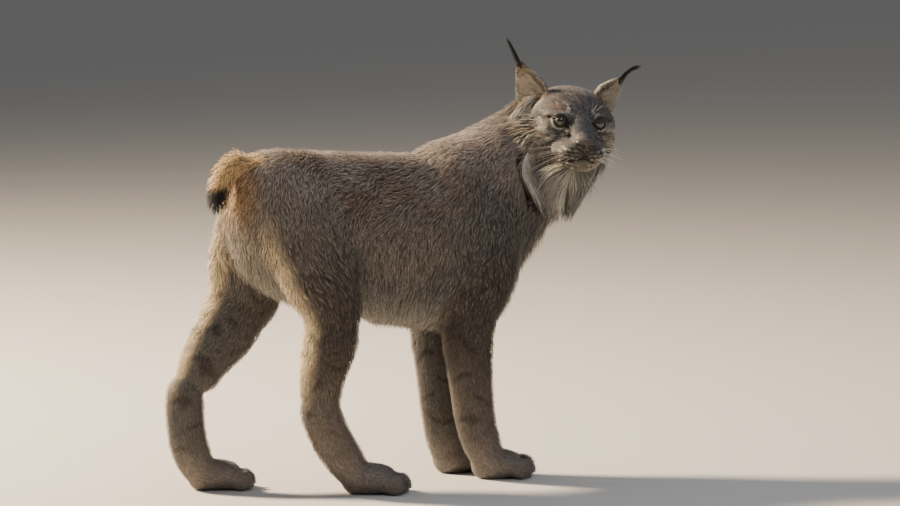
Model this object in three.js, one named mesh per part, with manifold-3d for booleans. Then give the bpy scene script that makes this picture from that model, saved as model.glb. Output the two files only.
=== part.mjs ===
// A life-size Canada lynx standing on four paws, its head turned over the right shoulder.
// Millimetres. +X is the way the body faces, +Y its left side, +Z up, and the paws stand on z = 0.
// The origin is under the middle of the model, on the floor.
import * as THREE from "three";
import { mergeVertices } from "three/addons/utils/BufferGeometryUtils.js";
import Module from "manifold-3d";

const wasm = await Module();
wasm.setup();

// Driving sizes
const WITHERS = 530; // height of the coat over the shoulders
const RUMP = 552; // height of the coat over the hips
const GAP = 0.3; // clearance between neighbouring pieces
const RIGHT = -1;
const LEFT = 1;
const HEAD_AT = [321, -76, 568]; // middle of the skull
const HEAD_TURN = -107; // degrees from +X, so the face looks past the right shoulder
const HEAD_ROLL = -4; // degrees

// Colours
const COAT = { back: 0x7d6c5c, flank: 0x80766b, leg: 0x9a8772, paw: 0xa89a86, face: 0x857b6f };
const IRIS = 0x8f8358;

const V = (x, y, z) => new THREE.Vector3(x, y, z);
const mix = THREE.MathUtils.lerp;
const radians = THREE.MathUtils.degToRad;

// Body forms

// The smooth spine of a list of stations. Each station gives a point, the half width along its side
// vector and the half height across it, and pear above 0 widens the lower half. The result finds a
// place: t along the spine, then shares of the half width and half height. The sections stand square
// to the spine, or to the facing vector if there is one.
function course(stations, side = V(0, 1, 0), facing) {
  const spine = new THREE.CatmullRomCurve3(stations.map((s) => V(...s.at)));
  const girth = new THREE.CatmullRomCurve3(stations.map((s) => V(s.wide, s.high, s.pear ?? 0)));
  const sideways = new THREE.CatmullRomCurve3(stations.map((s) => s.side ?? side));
  return (t, across, upward) => {
    const along = facing ?? spine.getTangent(t);
    const lateral = sideways.getPoint(t).projectOnPlane(along).normalize();
    const normal = along.clone().cross(lateral);
    const size = girth.getPoint(t);
    const reach = size.x * across * (1 - size.z * upward);
    return spine.getPoint(t).addScaledVector(lateral, reach).addScaledVector(normal, size.y * upward);
  };
}

// A rounded form along a course: a sphere's grid laid along it, closed at both ends.
function form(stations, { sides = 16, rings = 12, cap = 0.14, side, facing, grow = 0 } = {}) {
  const placeAt = course(stations, side, facing);
  const geometry = new THREE.SphereGeometry(1, sides, rings);
  const point = geometry.attributes.position;
  for (let i = 0; i < point.count; i++) {
    const share = Math.acos(THREE.MathUtils.clamp(point.getY(i), -1, 1)) / Math.PI;
    const t = share - (0.6 * Math.sin(2 * Math.PI * share)) / (2 * Math.PI);
    const ring = Math.hypot(point.getX(i), point.getZ(i));
    const across = ring > 1e-6 ? point.getX(i) / ring : 0;
    const upward = ring > 1e-6 ? point.getZ(i) / ring : 0;
    const nearEnd = Math.min(t, 1 - t) / cap;
    const rounded = nearEnd < 1 ? Math.sqrt(Math.max(0, 1 - (1 - nearEnd) ** 2)) : 1;
    const place = placeAt(t, across * rounded, upward * rounded);
    point.setXYZ(i, place.x, place.y, place.z);
  }
  return solid(geometry, grow);
}

// An ellipsoid with its radii along x, y and z, turned by an Euler angle in degrees.
function ball([x, y, z], [rx, ry, rz], { sides = 14, rings = 10, turn = [0, 0, 0], grow = 0 } = {}) {
  const geometry = new THREE.SphereGeometry(1, sides, rings);
  geometry.scale(rx, ry, rz);
  const [ax, ay, az] = turn.map(radians);
  geometry.applyMatrix4(new THREE.Matrix4().makeRotationFromEuler(new THREE.Euler(ax, ay, az)));
  geometry.translate(x, y, z);
  return solid(geometry, grow);
}

// A flat lock of hair: a bent blade that narrows to its tip, with its root sunk in what it grows from.
function lock(root, tip, { wide, thick, bend = V(0, 0, 0), side, sides = 4, rings = 4 }) {
  const middle = root.clone().lerp(tip, 0.5).add(bend);
  const stations = [
    { at: root.toArray(), wide: wide * 0.8, high: thick },
    { at: middle.toArray(), wide, high: thick },
    { at: tip.toArray(), wide: wide * 0.3, high: thick * 0.35 },
  ];
  return form(stations, { sides, rings, cap: 0.22, side });
}

// Locks that clothe a lobe of long hair, in rows from its root to its tip: outer of them in a row on
// its outer face and inner on the other. A slimmer core reaches half way down. A lock is sunk in the
// lobe at its root and lies along it.
function hairLobe(stations, side, { rows, outer, inner, reach, wide, thick, seed }) {
  const draw = seeded(seed);
  const placeAt = course(stations, side);
  const half = stations.slice(0, Math.ceil(stations.length / 2));
  const core = half.map((s) => ({ ...s, wide: s.wide * 0.75, high: s.high * 0.6 }));
  const parts = [form(core, { sides: 8, rings: 6, side })];
  for (let row = 0; row < rows; row++) {
    const share = row / (rows - 1);
    const from = mix(0.03, 1 - reach, share);
    for (const [face, count] of [[1, outer], [-1, inner]]) {
      for (let i = 0; i < count; i++) {
        const across = mix(-0.85, 0.85, (i + (row % 2 ? 0.45 : 0.05)) / (count - 0.5));
        const root = placeAt(from, across * 0.6, face * 0.3);
        const end = Math.min(1, from + reach * draw(0.88, 1));
        const tip = placeAt(end, across * draw(0.85, 1.05), face * draw(0.6, 0.95));
        const outward = placeAt(from, 0, face).sub(placeAt(from, 0, 0)).normalize();
        const flat = outward.clone().cross(tip.clone().sub(root)).normalize();
        const bend = outward.clone().multiplyScalar(thick * 1.4);
        parts.push(lock(root, tip, { wide: wide * mix(1, 0.72, share), thick, bend, side: flat }));
      }
    }
  }
  return parts;
}

// Solids

// A solid of a closed geometry, with its surface moved outwards by grow.
function solid(geometry, grow = 0) {
  const bare = new THREE.BufferGeometry().setAttribute("position", geometry.attributes.position);
  bare.setIndex(geometry.index);
  const merged = mergeVertices(bare, 1e-3);
  merged.computeVertexNormals();
  const { position, normal } = merged.attributes;
  for (let i = 0; i < position.count; i++) {
    const out = V(normal.getX(i), normal.getY(i), normal.getZ(i)).multiplyScalar(grow);
    position.setXYZ(i, position.getX(i) + out.x, position.getY(i) + out.y, position.getZ(i) + out.z);
  }
  const triVerts = new Uint32Array(merged.index.array);
  const vertProperties = merged.attributes.position.array;
  return new wasm.Manifold(new wasm.Mesh({ numProp: 3, vertProperties, triVerts }));
}

const join = (...solids) => solids.flat(2).reduce((a, b) => a.add(b));
const cut = (whole, ...tools) => tools.flat().reduce((a, b) => a.subtract(b), whole);
const moved = (whole, matrix) => whole.transform(matrix.elements);

// A mesh of the largest closed body of a solid given in the model's frame, placed in a group.
function node(group, name, whole, colour, { roughness = 0.95, metalness = 0 } = {}) {
  const largest = whole.decompose().reduce((a, b) => (a.volume() > b.volume() ? a : b));
  const made = largest.getMesh();
  const geometry = new THREE.BufferGeometry();
  geometry.setAttribute("position", new THREE.Float32BufferAttribute(made.vertProperties, 3));
  geometry.setIndex(Array.from(made.triVerts));
  group.updateWorldMatrix(true, false);
  geometry.applyMatrix4(group.matrixWorld.clone().invert());
  const material = new THREE.MeshStandardMaterial({ color: colour, roughness, metalness });
  const mesh = new THREE.Mesh(geometry, material);
  mesh.name = name;
  group.add(mesh);
}

// A random draw that is the same each run.
function seeded(seed) {
  let state = seed;
  return (low, high) => {
    state = (state * 16807) % 2147483647;
    return mix(low, high, state / 2147483647);
  };
}

// Trunk

// A station of the trunk from the heights of its back and belly.
const trunkAt = (x, back, belly, wide, pear = 0.08) => ({
  at: [x, 0, (back + belly) / 2],
  wide,
  high: (back - belly) / 2,
  pear,
});
const TRUNK = [
  trunkAt(-272, RUMP - 74, 396, 48),
  trunkAt(-246, RUMP - 20, 356, 66),
  trunkAt(-195, RUMP, 314, 82),
  trunkAt(-115, RUMP - 6, 284, 88),
  trunkAt(-30, RUMP - 12, 270, 92, 0.12),
  trunkAt(55, WITHERS + 7, 254, 96, 0.12),
  trunkAt(135, WITHERS, 238, 95, 0.1),
  trunkAt(196, WITHERS - 6, 244, 86),
  trunkAt(238, WITHERS - 28, 272, 72),
  trunkAt(266, WITHERS - 72, 322, 46),
];
const trunk = (grow = 0) => form(TRUNK, { sides: 20, rings: 18, cap: 0.1, facing: V(1, 0, 0), grow });

// The belly's fringe: locks in rows along the underside that hang down and sweep back, with their
// roots sunk in the trunk. The belly's line falls from its rear to its front height.
const FRINGE = { from: -126, to: 134, step: 34, rows: [-46, -15, 16, 47], length: 36, wide: 15, thick: 3.6 };
const BELLY = { rear: 286, front: 238, from: -115, to: 135, round: 90 };
const ROOT_DEPTH = 12;
function bellyFringe() {
  const draw = seeded(11);
  const locks = [];
  FRINGE.rows.forEach((across, row) => {
    for (let x = FRINGE.from + (row % 2) * (FRINGE.step / 2); x <= FRINGE.to; x += FRINGE.step) {
      const place = x + draw(-5, 5);
      const share = (place - BELLY.from) / (BELLY.to - BELLY.from);
      const belly = mix(BELLY.rear, BELLY.front, share) + across ** 2 / BELLY.round;
      const root = V(place, across, belly + ROOT_DEPTH);
      const drop = (FRINGE.length - ROOT_DEPTH) * draw(0.75, 1);
      const tip = V(place - draw(18, 26), across * 1.04, belly - drop);
      const side = V(0.92, row % 2 ? 0.4 : -0.4, 0);
      const wide = FRINGE.wide * draw(0.85, 1.1);
      locks.push(lock(root, tip, { wide, thick: FRINGE.thick, bend: V(4, 0, 0), side }));
    }
  });
  return locks;
}

// Neck

const headLeft = V(1, 0, 0).applyAxisAngle(V(0, 0, 1), radians(HEAD_TURN + 90));
const NECK = [
  { at: [110, 0, 414], wide: 78, high: 108 },
  { at: [182, 0, 442], wide: 74, high: 102 },
  { at: [244, -2, 484], wide: 62, high: 80, side: V(0.2, 1, 0) },
  { at: [298, -18, 522], wide: 60, high: 70, side: V(0.6, 0.8, 0) },
  { at: [328, -44, 556], wide: 54, high: 58, side: headLeft },
];
const neck = (grow = 0) => form(NECK, { sides: 16, rings: 11, cap: 0.1, grow });

// Legs

// Each limb segment is a list of stations down the leg: point, half width across the body, half
// depth fore and aft.
const limb = (...stations) => stations.map(([at, wide, high]) => ({ at, wide, high }));
const LEGS = {
  hind_right: {
    thigh: limb(
      [[-188, -50, 500], 34, 56],
      [[-176, -70, 430], 40, 80],
      [[-150, -84, 355], 42, 78],
      [[-132, -90, 290], 38, 60],
      [[-130, -90, 250], 32, 46],
    ),
    shank: limb(
      [[-128, -89, 300], 34, 50],
      [[-138, -87, 240], 37, 50],
      [[-150, -84, 185], 32, 42],
      [[-152, -82, 140], 29, 38],
    ),
    instep: limb(
      [[-158, -82, 168], 27, 34],
      [[-148, -83, 120], 30, 37],
      [[-122, -86, 72], 31, 35],
      [[-96, -90, 34], 31, 30],
    ),
    paw: { at: [-62, -99, 0], turn: -16, length: 118, wide: 41 },
  },
  hind_left: {
    thigh: limb(
      [[-190, 50, 500], 34, 56],
      [[-186, 70, 430], 40, 84],
      [[-184, 82, 355], 43, 84],
      [[-190, 88, 295], 40, 68],
      [[-205, 88, 255], 34, 54],
    ),
    shank: limb(
      [[-192, 88, 305], 36, 60],
      [[-228, 87, 250], 38, 56],
      [[-268, 84, 205], 34, 46],
      [[-292, 82, 160], 29, 38],
    ),
    instep: limb(
      [[-304, 82, 190], 26, 30],
      [[-305, 82, 135], 29, 35],
      [[-300, 80, 80], 30, 34],
      [[-284, 78, 36], 31, 30],
    ),
    paw: { at: [-246, 72, 0], turn: -8, length: 116, wide: 41 },
  },
  fore_right: {
    upper: limb(
      [[142, -52, 470], 32, 46],
      [[172, -66, 400], 38, 62],
      [[162, -72, 330], 40, 60],
      [[142, -68, 270], 37, 50],
      [[133, -63, 230], 34, 43],
    ),
    forearm: limb(
      [[134, -63, 280], 33, 45],
      [[135, -60, 225], 35, 45],
      [[144, -56, 160], 32, 40],
      [[154, -52, 100], 31, 37],
      [[176, -52, 36], 29, 31],
    ),
    paw: { at: [202, -55, 0], turn: -10, length: 108, wide: 38 },
  },
  fore_left: {
    upper: limb(
      [[142, 52, 470], 32, 46],
      [[174, 66, 400], 38, 62],
      [[164, 72, 330], 40, 60],
      [[148, 65, 270], 37, 50],
      [[142, 58, 230], 34, 43],
    ),
    forearm: limb(
      [[144, 59, 280], 33, 45],
      [[143, 53, 225], 35, 44],
      [[144, 47, 160], 32, 39],
      [[148, 44, 100], 31, 36],
      [[160, 43, 36], 29, 31],
    ),
    paw: { at: [186, 42, 0], turn: 4, length: 108, wide: 38 },
  },
};
const segment = (stations, grow = 0) => form(stations, { sides: 13, rings: 9, cap: 0.12, grow });

// Paws: a broad furred foot with four toes, its sole cut flat on the floor. Local x is forward.
const FLOOR = solid(new THREE.BoxGeometry(2000, 2000, 400).translate(0, 0, -200));
function paw({ length, wide }) {
  const back = -length / 2;
  const foot = form(
    [
      { at: [back, 0, 22], wide: wide * 0.74, high: 26 },
      { at: [-length * 0.22, 0, 23], wide: wide * 0.86, high: 29 },
      { at: [length * 0.12, 0, 21], wide: wide * 0.96, high: 26 },
      { at: [length * 0.32, 0, 16], wide: wide * 0.8, high: 18 },
    ],
    { sides: 12, rings: 7, cap: 0.2 },
  );
  const toes = [-1.5, -0.5, 0.5, 1.5].map((place) => {
    const reach = length * (Math.abs(place) > 1 ? 0.26 : 0.335);
    const spread = place * wide * 0.5;
    const radii = [length * 0.17, wide * 0.29, 18];
    return ball([reach, spread, 14], radii, { sides: 8, rings: 6, turn: [0, 8, place * 5] });
  });
  return cut(join(foot, toes), FLOOR);
}

// Tail

const TAIL = [
  { at: [-226, 0, RUMP - 22], wide: 28, high: 28 },
  { at: [-262, 0, RUMP - 32], wide: 28, high: 26 },
  { at: [-288, 0, RUMP - 60], wide: 27, high: 25 },
  { at: [-297, 0, RUMP - 92], wide: 27, high: 24 },
  { at: [-295, 0, RUMP - 118], wide: 20, high: 17 },
];
const tail = (grow = 0) => form(TAIL, { sides: 12, rings: 10, cap: 0.16, grow });

// Head, in its own frame: x out of the nose, y to its left, z up, origin in the middle of the skull

const EYE = { at: [43.5, 30, 8], radius: 13, gap: 0.4 };
const LID = { thick: 2.6, wide: 30, high: 16, drop: 0.9, turn: 20, tilt: 12, through: 40 };
const MOUTH = [[48, 38, -57], [62, 31, -54], [79, 16, -51], [90, 0, -45.5]]; // from the left corner
const skullAt = (x, z, wide, high, pear = 0) => ({ at: [x, 0, z], wide, high, pear });

function skull() {
  const cranium = form(
    [
      skullAt(-74, 2, 46, 42),
      skullAt(-52, 4, 62, 54),
      skullAt(-20, 4, 70, 60, -0.08),
      skullAt(12, -1, 69, 55, -0.04),
      skullAt(36, -10, 60, 44, 0.04),
      skullAt(52, -18, 46, 34),
      skullAt(62, -26, 29, 23),
    ],
    { sides: 18, rings: 12, cap: 0.1 },
  );
  const bridge = form(
    [
      skullAt(26, 24, 28, 18),
      skullAt(52, 6, 21, 15),
      skullAt(76, -15, 17, 11),
      skullAt(92, -26, 13, 8),
    ],
    { sides: 12, rings: 8 },
  );
  const muzzle = form(
    [
      skullAt(38, -36, 46, 30),
      skullAt(64, -37, 39, 24),
      skullAt(84, -39, 28, 17),
      skullAt(93, -40, 17, 11),
    ],
    { sides: 14, rings: 8, cap: 0.2 },
  );
  const jaw = form(
    [
      skullAt(78, -55.5, 15, 8),
      skullAt(60, -54.5, 24, 11),
      skullAt(26, -49, 42, 20),
      skullAt(-14, -38, 54, 34),
    ],
    { sides: 14, rings: 9 },
  );
  const pairs = [LEFT, RIGHT].flatMap((s) => [
    ball([2, s * 46, -18], [44, 28, 38], { turn: [0, 0, s * 12], sides: 12, rings: 8 }),
    ball([70, s * 20, -40], [22, 18, 13], { turn: [0, 0, s * -16], sides: 12, rings: 8 }),
    ball([32, s * 32, 19], [22, 23, 12], { turn: [s * -16, 20, 0], sides: 10, rings: 8 }),
  ]);
  return join(cranium, bridge, muzzle, jaw, pairs);
}

// The nose leather: a broad pad that narrows to the lip, with a nostril cut in at each side.
function nose() {
  const pad = form(
    [
      skullAt(80, -24, 13, 8),
      skullAt(88, -26, 16, 10.5, -0.42),
      skullAt(96, -27, 13.5, 9.5, -0.48),
      skullAt(99.5, -27, 9, 6, -0.3),
    ],
    { sides: 16, rings: 8, cap: 0.25, side: V(0, 1, 0) },
  );
  const nostrils = [LEFT, RIGHT].map((s) =>
    ball([98, s * 7.8, -28], [6, 3.6, 2.6], { turn: [s * 30, 0, s * 40], sides: 8, rings: 6 }),
  );
  const cleft = ball([97, 0, -36], [5, 1.1, 7], { sides: 8, rings: 6 });
  return { pad, cuts: [...nostrils, cleft] };
}

// The line of the mouth: a groove that follows the lips from corner to corner, and the cleft up to
// the nose.
function mouthLine() {
  const rightHalf = MOUTH.slice(0, -1).map(([x, y, z]) => [x, -y, z]);
  const path = [...rightHalf, ...MOUTH.toReversed()];
  const stations = path.map((at) => ({ at, wide: 7, high: 1.7 }));
  const groove = form(stations, { sides: 8, rings: 18, cap: 0.08, side: V(1, 0, 0) });
  const cleft = ball([95, 0, -41], [5, 1.2, 9], { sides: 8, rings: 6 });
  return [groove, cleft];
}

// Lids: a shell of skin round each eye with an almond opening, the inner corner set low.
const eyeAt = (side) => [EYE.at[0], side * EYE.at[1], EYE.at[2]];
function globe(side, radius, grow = 0) {
  return ball(eyeAt(side), [radius, radius, radius], { sides: 16, rings: 10, grow });
}
const lids = (side) => globe(side, EYE.radius + EYE.gap + LID.thick);
const eyeball = (side, grow = 0) => globe(side, EYE.radius, grow);
function lidOpening(side) {
  const almond = new THREE.Shape();
  const half = LID.wide / 2;
  almond.moveTo(-half, 0);
  almond.quadraticCurveTo(0, LID.high, half, 0);
  almond.quadraticCurveTo(0, -LID.high * LID.drop, -half, 0);
  const depth = LID.through;
  const geometry = new THREE.ExtrudeGeometry(almond, { depth, bevelEnabled: false, curveSegments: 8 });
  if (side === RIGHT) geometry.translate(0, 0, -depth);
  const lift = new THREE.Matrix4().makeBasis(V(0, side, 0), V(0, 0, 1), V(side, 0, 0));
  const turn = new THREE.Matrix4().makeRotationZ(radians(side * LID.turn));
  const tilt = new THREE.Matrix4().makeRotationX(radians(side * LID.tilt));
  const place = new THREE.Matrix4().makeTranslation(...eyeAt(side));
  return moved(solid(geometry), place.multiply(turn).multiply(tilt).multiply(lift));
}

// Ruff: a lobe of long hair under each jaw angle, the left one drawn in under the chin by the turn
// of the neck, and the shorter throat hair between them.
const RUFF = {
  right: [
    { at: [-28, -56, 12], wide: 24, high: 18 },
    { at: [-14, -64, -28], wide: 30, high: 17 },
    { at: [0, -62, -66], wide: 27, high: 16 },
    { at: [8, -47, -104], wide: 18, high: 11 },
    { at: [12, -32, -142], wide: 5, high: 4 },
  ],
  left: [
    { at: [-34, 58, 12], wide: 24, high: 18 },
    { at: [-28, 60, -28], wide: 30, high: 17 },
    { at: [-10, 40, -68], wide: 27, high: 16 },
    { at: [4, 18, -108], wide: 18, high: 11 },
    { at: [9, 2, -160], wide: 5, high: 4 },
  ],
  throat: [
    { at: [44, 0, -54], wide: 34, high: 16 },
    { at: [32, -4, -88], wide: 37, high: 15 },
    { at: [22, -12, -124], wide: 29, high: 10 },
    { at: [16, -18, -160], wide: 13, high: 4 },
  ],
};
const RUFF_LOCK = { rows: 4, outer: 3, inner: 1, reach: 0.46, wide: 12, thick: 3.4 };
const ruff = () => [
  hairLobe(RUFF.right, V(0.7, 0.7, 0), { ...RUFF_LOCK, seed: 7 }),
  hairLobe(RUFF.left, V(-0.7, 0.7, 0), { ...RUFF_LOCK, seed: 5 }),
  hairLobe(RUFF.throat, V(0, 1, 0), { ...RUFF_LOCK, rows: 3, outer: 4, seed: 23 }),
];

// Ears: a cup open to the front and side, with a long black tuft on its tip
const EARS = {
  ear_right: {
    side: RIGHT,
    root: [-12, -59, 36],
    tip: [-26, -86, 94],
    tuft: [-36, -108, 136],
    bow: [0, -2, 4],
  },
  ear_left: {
    side: LEFT,
    root: [-12, 57, 36],
    tip: [-32, 90, 77],
    tuft: [-46, 129, 102],
    bow: [0, 0, 7],
  },
};
function ear({ side, root, tip, tuft, bow }) {
  const base = V(...root);
  const end = V(...tip);
  const along = end.clone().sub(base);
  const open = V(0.8, side * 0.45, -0.1).projectOnPlane(along).normalize();
  const across = open.clone().cross(along).normalize();
  const middle = (share) => base.clone().addScaledVector(along, share);
  const at = (share, shift = 0) => middle(share).addScaledVector(open, shift).toArray();
  const shell = form(
    [
      { at: at(-0.1), wide: 24, high: 18 },
      { at: at(0.25), wide: 26, high: 16 },
      { at: at(0.62), wide: 18, high: 11 },
      { at: at(0.9), wide: 8, high: 6 },
      { at: at(1.04), wide: 2.6, high: 2.6 },
    ],
    { sides: 14, rings: 9, side: across },
  );
  const hollow = form(
    [
      { at: at(0.14, 15), wide: 14, high: 13 },
      { at: at(0.34, 11), wide: 19, high: 14 },
      { at: at(0.64, 8), wide: 13, high: 10 },
      { at: at(0.9, 6), wide: 4, high: 5 },
    ],
    { sides: 12, rings: 7, side: across },
  );
  const top = V(...tuft);
  const tuftHairs = [-1, -0.3, 0.4, 1].map((spread) => {
    const reach = end.clone().lerp(top, 1 - 0.15 * Math.abs(spread)).addScaledVector(across, spread * 4);
    const start = middle(0.88).addScaledVector(across, spread * 2);
    return lock(start, reach, { wide: 3.4, thick: 2.4, bend: V(...bow), side: across });
  });
  return join(cut(shell, hollow), tuftHairs);
}

// Assembly

const lynx = new THREE.Group();
lynx.name = "canada_lynx";

const headGroup = new THREE.Group();
headGroup.position.set(...HEAD_AT);
headGroup.rotation.set(radians(HEAD_ROLL), 0, radians(HEAD_TURN), "ZYX");
lynx.add(headGroup);
lynx.updateMatrixWorld(true);
const inHead = (whole) => moved(whole, headGroup.matrixWorld);

const limbs = Object.values(LEGS).flatMap((leg) => [
  segment(leg.thigh ?? leg.upper, GAP),
  segment(leg.shank ?? leg.forearm, GAP),
]);
node(lynx, "torso", join(trunk(), cut(join(bellyFringe()), limbs)), COAT.flank);
node(lynx, "neck", cut(neck(), trunk(GAP)), COAT.back);
node(lynx, "tail", cut(tail(), trunk(GAP)), COAT.back);

const { pad, cuts } = nose();
const lidShells = [LEFT, RIGHT].map(lids);
const openings = [LEFT, RIGHT].flatMap((s) => [lidOpening(s), eyeball(s, EYE.gap)]);
const face = cut(join(skull(), pad, lidShells), openings, cuts, mouthLine());
const headSolid = cut(inHead(join(face, ...ruff())), neck(GAP), trunk(GAP));
node(headGroup, "head", headSolid, COAT.face);
for (const [name, shape] of Object.entries(EARS)) {
  node(headGroup, name, cut(inHead(ear(shape)), inHead(skull()).add(neck(GAP))), COAT.face);
}
node(headGroup, "eye_left", inHead(eyeball(LEFT)), IRIS, { roughness: 0.08 });
node(headGroup, "eye_right", inHead(eyeball(RIGHT)), IRIS, { roughness: 0.08 });

for (const [name, leg] of Object.entries(LEGS)) {
  const { at, turn } = leg.paw;
  const pawGroup = new THREE.Group();
  pawGroup.position.set(...at);
  pawGroup.rotation.z = radians(turn);
  lynx.add(pawGroup);
  pawGroup.updateWorldMatrix(true, false);
  const upper = leg.thigh ?? leg.upper;
  const middle = leg.shank ?? leg.forearm;
  const lowest = leg.instep ?? leg.forearm;
  const [upperName, middleName] = leg.thigh ? ["thigh", "shank"] : ["upper", "forearm"];
  node(lynx, `${name}_${upperName}`, cut(segment(upper), trunk(GAP), neck(GAP)), COAT.leg);
  node(lynx, `${name}_${middleName}`, cut(segment(middle), segment(upper, GAP), trunk(GAP)), COAT.leg);
  if (leg.instep) {
    node(lynx, `${name}_instep`, cut(segment(leg.instep), segment(middle, GAP), FLOOR), COAT.leg);
  }
  const foot = moved(paw(leg.paw), pawGroup.matrixWorld);
  node(pawGroup, name + "_paw", cut(foot, segment(lowest, GAP)), COAT.paw);
}

// The origin goes under the middle of the model, at the height of the soles.
lynx.updateMatrixWorld(true);
const bounds = new THREE.Box3().setFromObject(lynx, true);
const middle = bounds.getCenter(new THREE.Vector3());
lynx.position.set(-middle.x, -middle.y, -bounds.min.z);

export default lynx;
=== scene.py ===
"""A life-size Canada lynx: one skin, its coat of mesh tufts, and the eyes, nose, ruff and whiskers."""
import logging
import math
from collections.abc import Callable
from dataclasses import dataclass, field
from enum import Enum

import bmesh
import bpy
import numpy as np
from mathutils import Euler, Matrix, Vector
from mathutils.bvhtree import BVHTree
from mathutils.kdtree import KDTree


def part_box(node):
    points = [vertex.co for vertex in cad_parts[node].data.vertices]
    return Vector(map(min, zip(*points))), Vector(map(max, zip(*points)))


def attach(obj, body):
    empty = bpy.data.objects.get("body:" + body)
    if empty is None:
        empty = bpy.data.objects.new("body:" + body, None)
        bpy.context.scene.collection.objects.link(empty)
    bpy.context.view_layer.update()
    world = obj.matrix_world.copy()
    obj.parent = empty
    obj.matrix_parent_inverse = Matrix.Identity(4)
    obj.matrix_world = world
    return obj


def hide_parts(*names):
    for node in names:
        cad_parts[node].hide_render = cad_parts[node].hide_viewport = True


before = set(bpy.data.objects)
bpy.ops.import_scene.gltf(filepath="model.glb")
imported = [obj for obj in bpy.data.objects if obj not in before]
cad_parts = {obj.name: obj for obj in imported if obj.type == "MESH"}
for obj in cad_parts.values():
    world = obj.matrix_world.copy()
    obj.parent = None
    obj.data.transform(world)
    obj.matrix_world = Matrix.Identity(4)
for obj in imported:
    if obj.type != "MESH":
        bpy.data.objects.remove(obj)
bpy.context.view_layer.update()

logging.basicConfig(level=logging.INFO, format="%(message)s")
LOG = logging.getLogger("lynx")

# Short names for types
Array = np.ndarray
Random = np.random.Generator
Place = tuple[float, float, float]
Shell = bmesh.types.BMesh
Piece = bpy.types.Object
Material = bpy.types.Material
Tree = bpy.types.NodeTree
Node = bpy.types.Node
Socket = bpy.types.NodeSocket

# Driving sizes, in millimetres of the model's frame: +X the way the body faces, +Y its left, +Z up
MM = 0.001
WITHERS = 530.0
RUMP = 552.0
HEAD_AT = (321.0, -76.0, 568.0)
HEAD_TURN = -107.0
HEAD_ROLL = -4.0
EYE_AT = (43.5, 30.0, 8.0)
EYE_RADIUS = 13.0
CORNER_DIP = -4.0
NOSE_TIP = (98.0, 0.0, -27.0)
MOUTH = ((48, 38, -57), (62, 31, -54), (79, 16, -51), (90, 0, -45.5))

# The frame's origin lies under the middle of the model, so the eye's box gives the shift to it
HEAD_TURNED = Euler((math.radians(HEAD_ROLL), 0.0, math.radians(HEAD_TURN)), "XYZ").to_matrix()
_eye_low, _eye_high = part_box("eye_right")
_eye_here = Vector(HEAD_AT) + HEAD_TURNED @ Vector((EYE_AT[0], -EYE_AT[1], EYE_AT[2]))
SHIFT = np.array((_eye_low + _eye_high) / 2) / MM - np.array(_eye_here)


class Side(Enum):
    """The animal's two sides, as the sign of +Y."""

    RIGHT = -1
    LEFT = 1


class Lie(Enum):
    """How the hair of a form lies."""

    BACKWARD = "backward"
    DOWN_COURSE = "down its course"
    UP_COURSE = "up its course"
    FROM_NOSE = "away from the nose"


# Helpers

WAVES = 7
WAVE_SCALE = 2.6


def linear(hex_code: str) -> Array:
    """Turns six hex digits of an sRGB colour into linear red, green and blue from 0 to 1."""
    value = np.array([int(hex_code[i:i + 2], 16) / 255 for i in (0, 2, 4)])
    return np.where(value <= 0.04045, value / 12.92, ((value + 0.055) / 1.055) ** 2.4)


def smooth(value: Array, low: float, high: float) -> Array:
    """Rises smoothly from 0 at low to 1 at high; low may be the greater of the two."""
    share = np.clip((value - low) / (high - low), 0, 1)
    return share * share * (3 - 2 * share)


def unit(vectors: Array) -> Array:
    """Vectors along the last axis, made a length of one."""
    return vectors / np.maximum(np.linalg.norm(vectors, axis=-1, keepdims=True), 1e-9)


def in_plane(vectors: Array, normals: Array) -> Array:
    """Directions of length one, laid flat on the planes that the normals face."""
    return unit(vectors - normals * np.sum(vectors * normals, axis=1, keepdims=True))


def blend(start: Array, end: Array, share: Array) -> Array:
    """Colours for the points, by a share for each: 0 for the start colour, 1 for the end one."""
    return start + (end - start) * share[:, None]


def wander(points: Array, size: float, seed: int) -> Array:
    """A smooth random field from a few seeded waves.

    Args:
        points: Places in millimetres.
        size: The typical distance between its ups and downs, in millimetres.
        seed: Which field.

    Returns:
        One value for each point, mostly from -1 to 1.
    """
    draw = np.random.default_rng(seed)
    total = np.zeros(len(points))
    for _ in range(WAVES):
        heading = unit(draw.normal(size=3)) * 2 * math.pi / (size * draw.uniform(0.7, 1.5))
        total += np.sin(points @ heading + draw.uniform(0, 2 * math.pi))
    return total / WAVE_SCALE


def to_head(points: Array) -> Array:
    """Model places in the head's own frame: x out of the nose, y to its left, z up."""
    return (points - np.array(HEAD_AT)) @ np.array(HEAD_TURNED)


def from_head(points: Array) -> Array:
    """Places in the head's own frame, in the model's frame."""
    return np.asarray(points) @ np.array(HEAD_TURNED).T + np.array(HEAD_AT)


def fold(local: Array) -> Array:
    """Places in the head's own frame, with its right side laid over its left."""
    return np.column_stack([local[:, 0], np.abs(local[:, 1]), local[:, 2]])


def eye_centre(side: Side) -> Array:
    """The middle of one eyeball, in the head's own frame."""
    return np.array(EYE_AT) * (1, side.value, 1)


def distance_to_path(points: Array, path: list[Place]) -> Array:
    """How far each point is from a line through a few places.

    Args:
        points: The points.
        path: The places that the line joins.

    Returns:
        One distance for each point.
    """
    best = np.full(len(points), 1e9)
    for start, end in zip(path[:-1], path[1:]):
        a, b = np.array(start), np.array(end)
        along = b - a
        share = np.clip((points - a) @ along / (along @ along), 0, 1)
        best = np.minimum(best, np.linalg.norm(points - a - share[:, None] * along, axis=1))
    return best


# Forms

RING_CROWDING = 0.6
SAMPLED = (0.04, 0.96)


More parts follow.
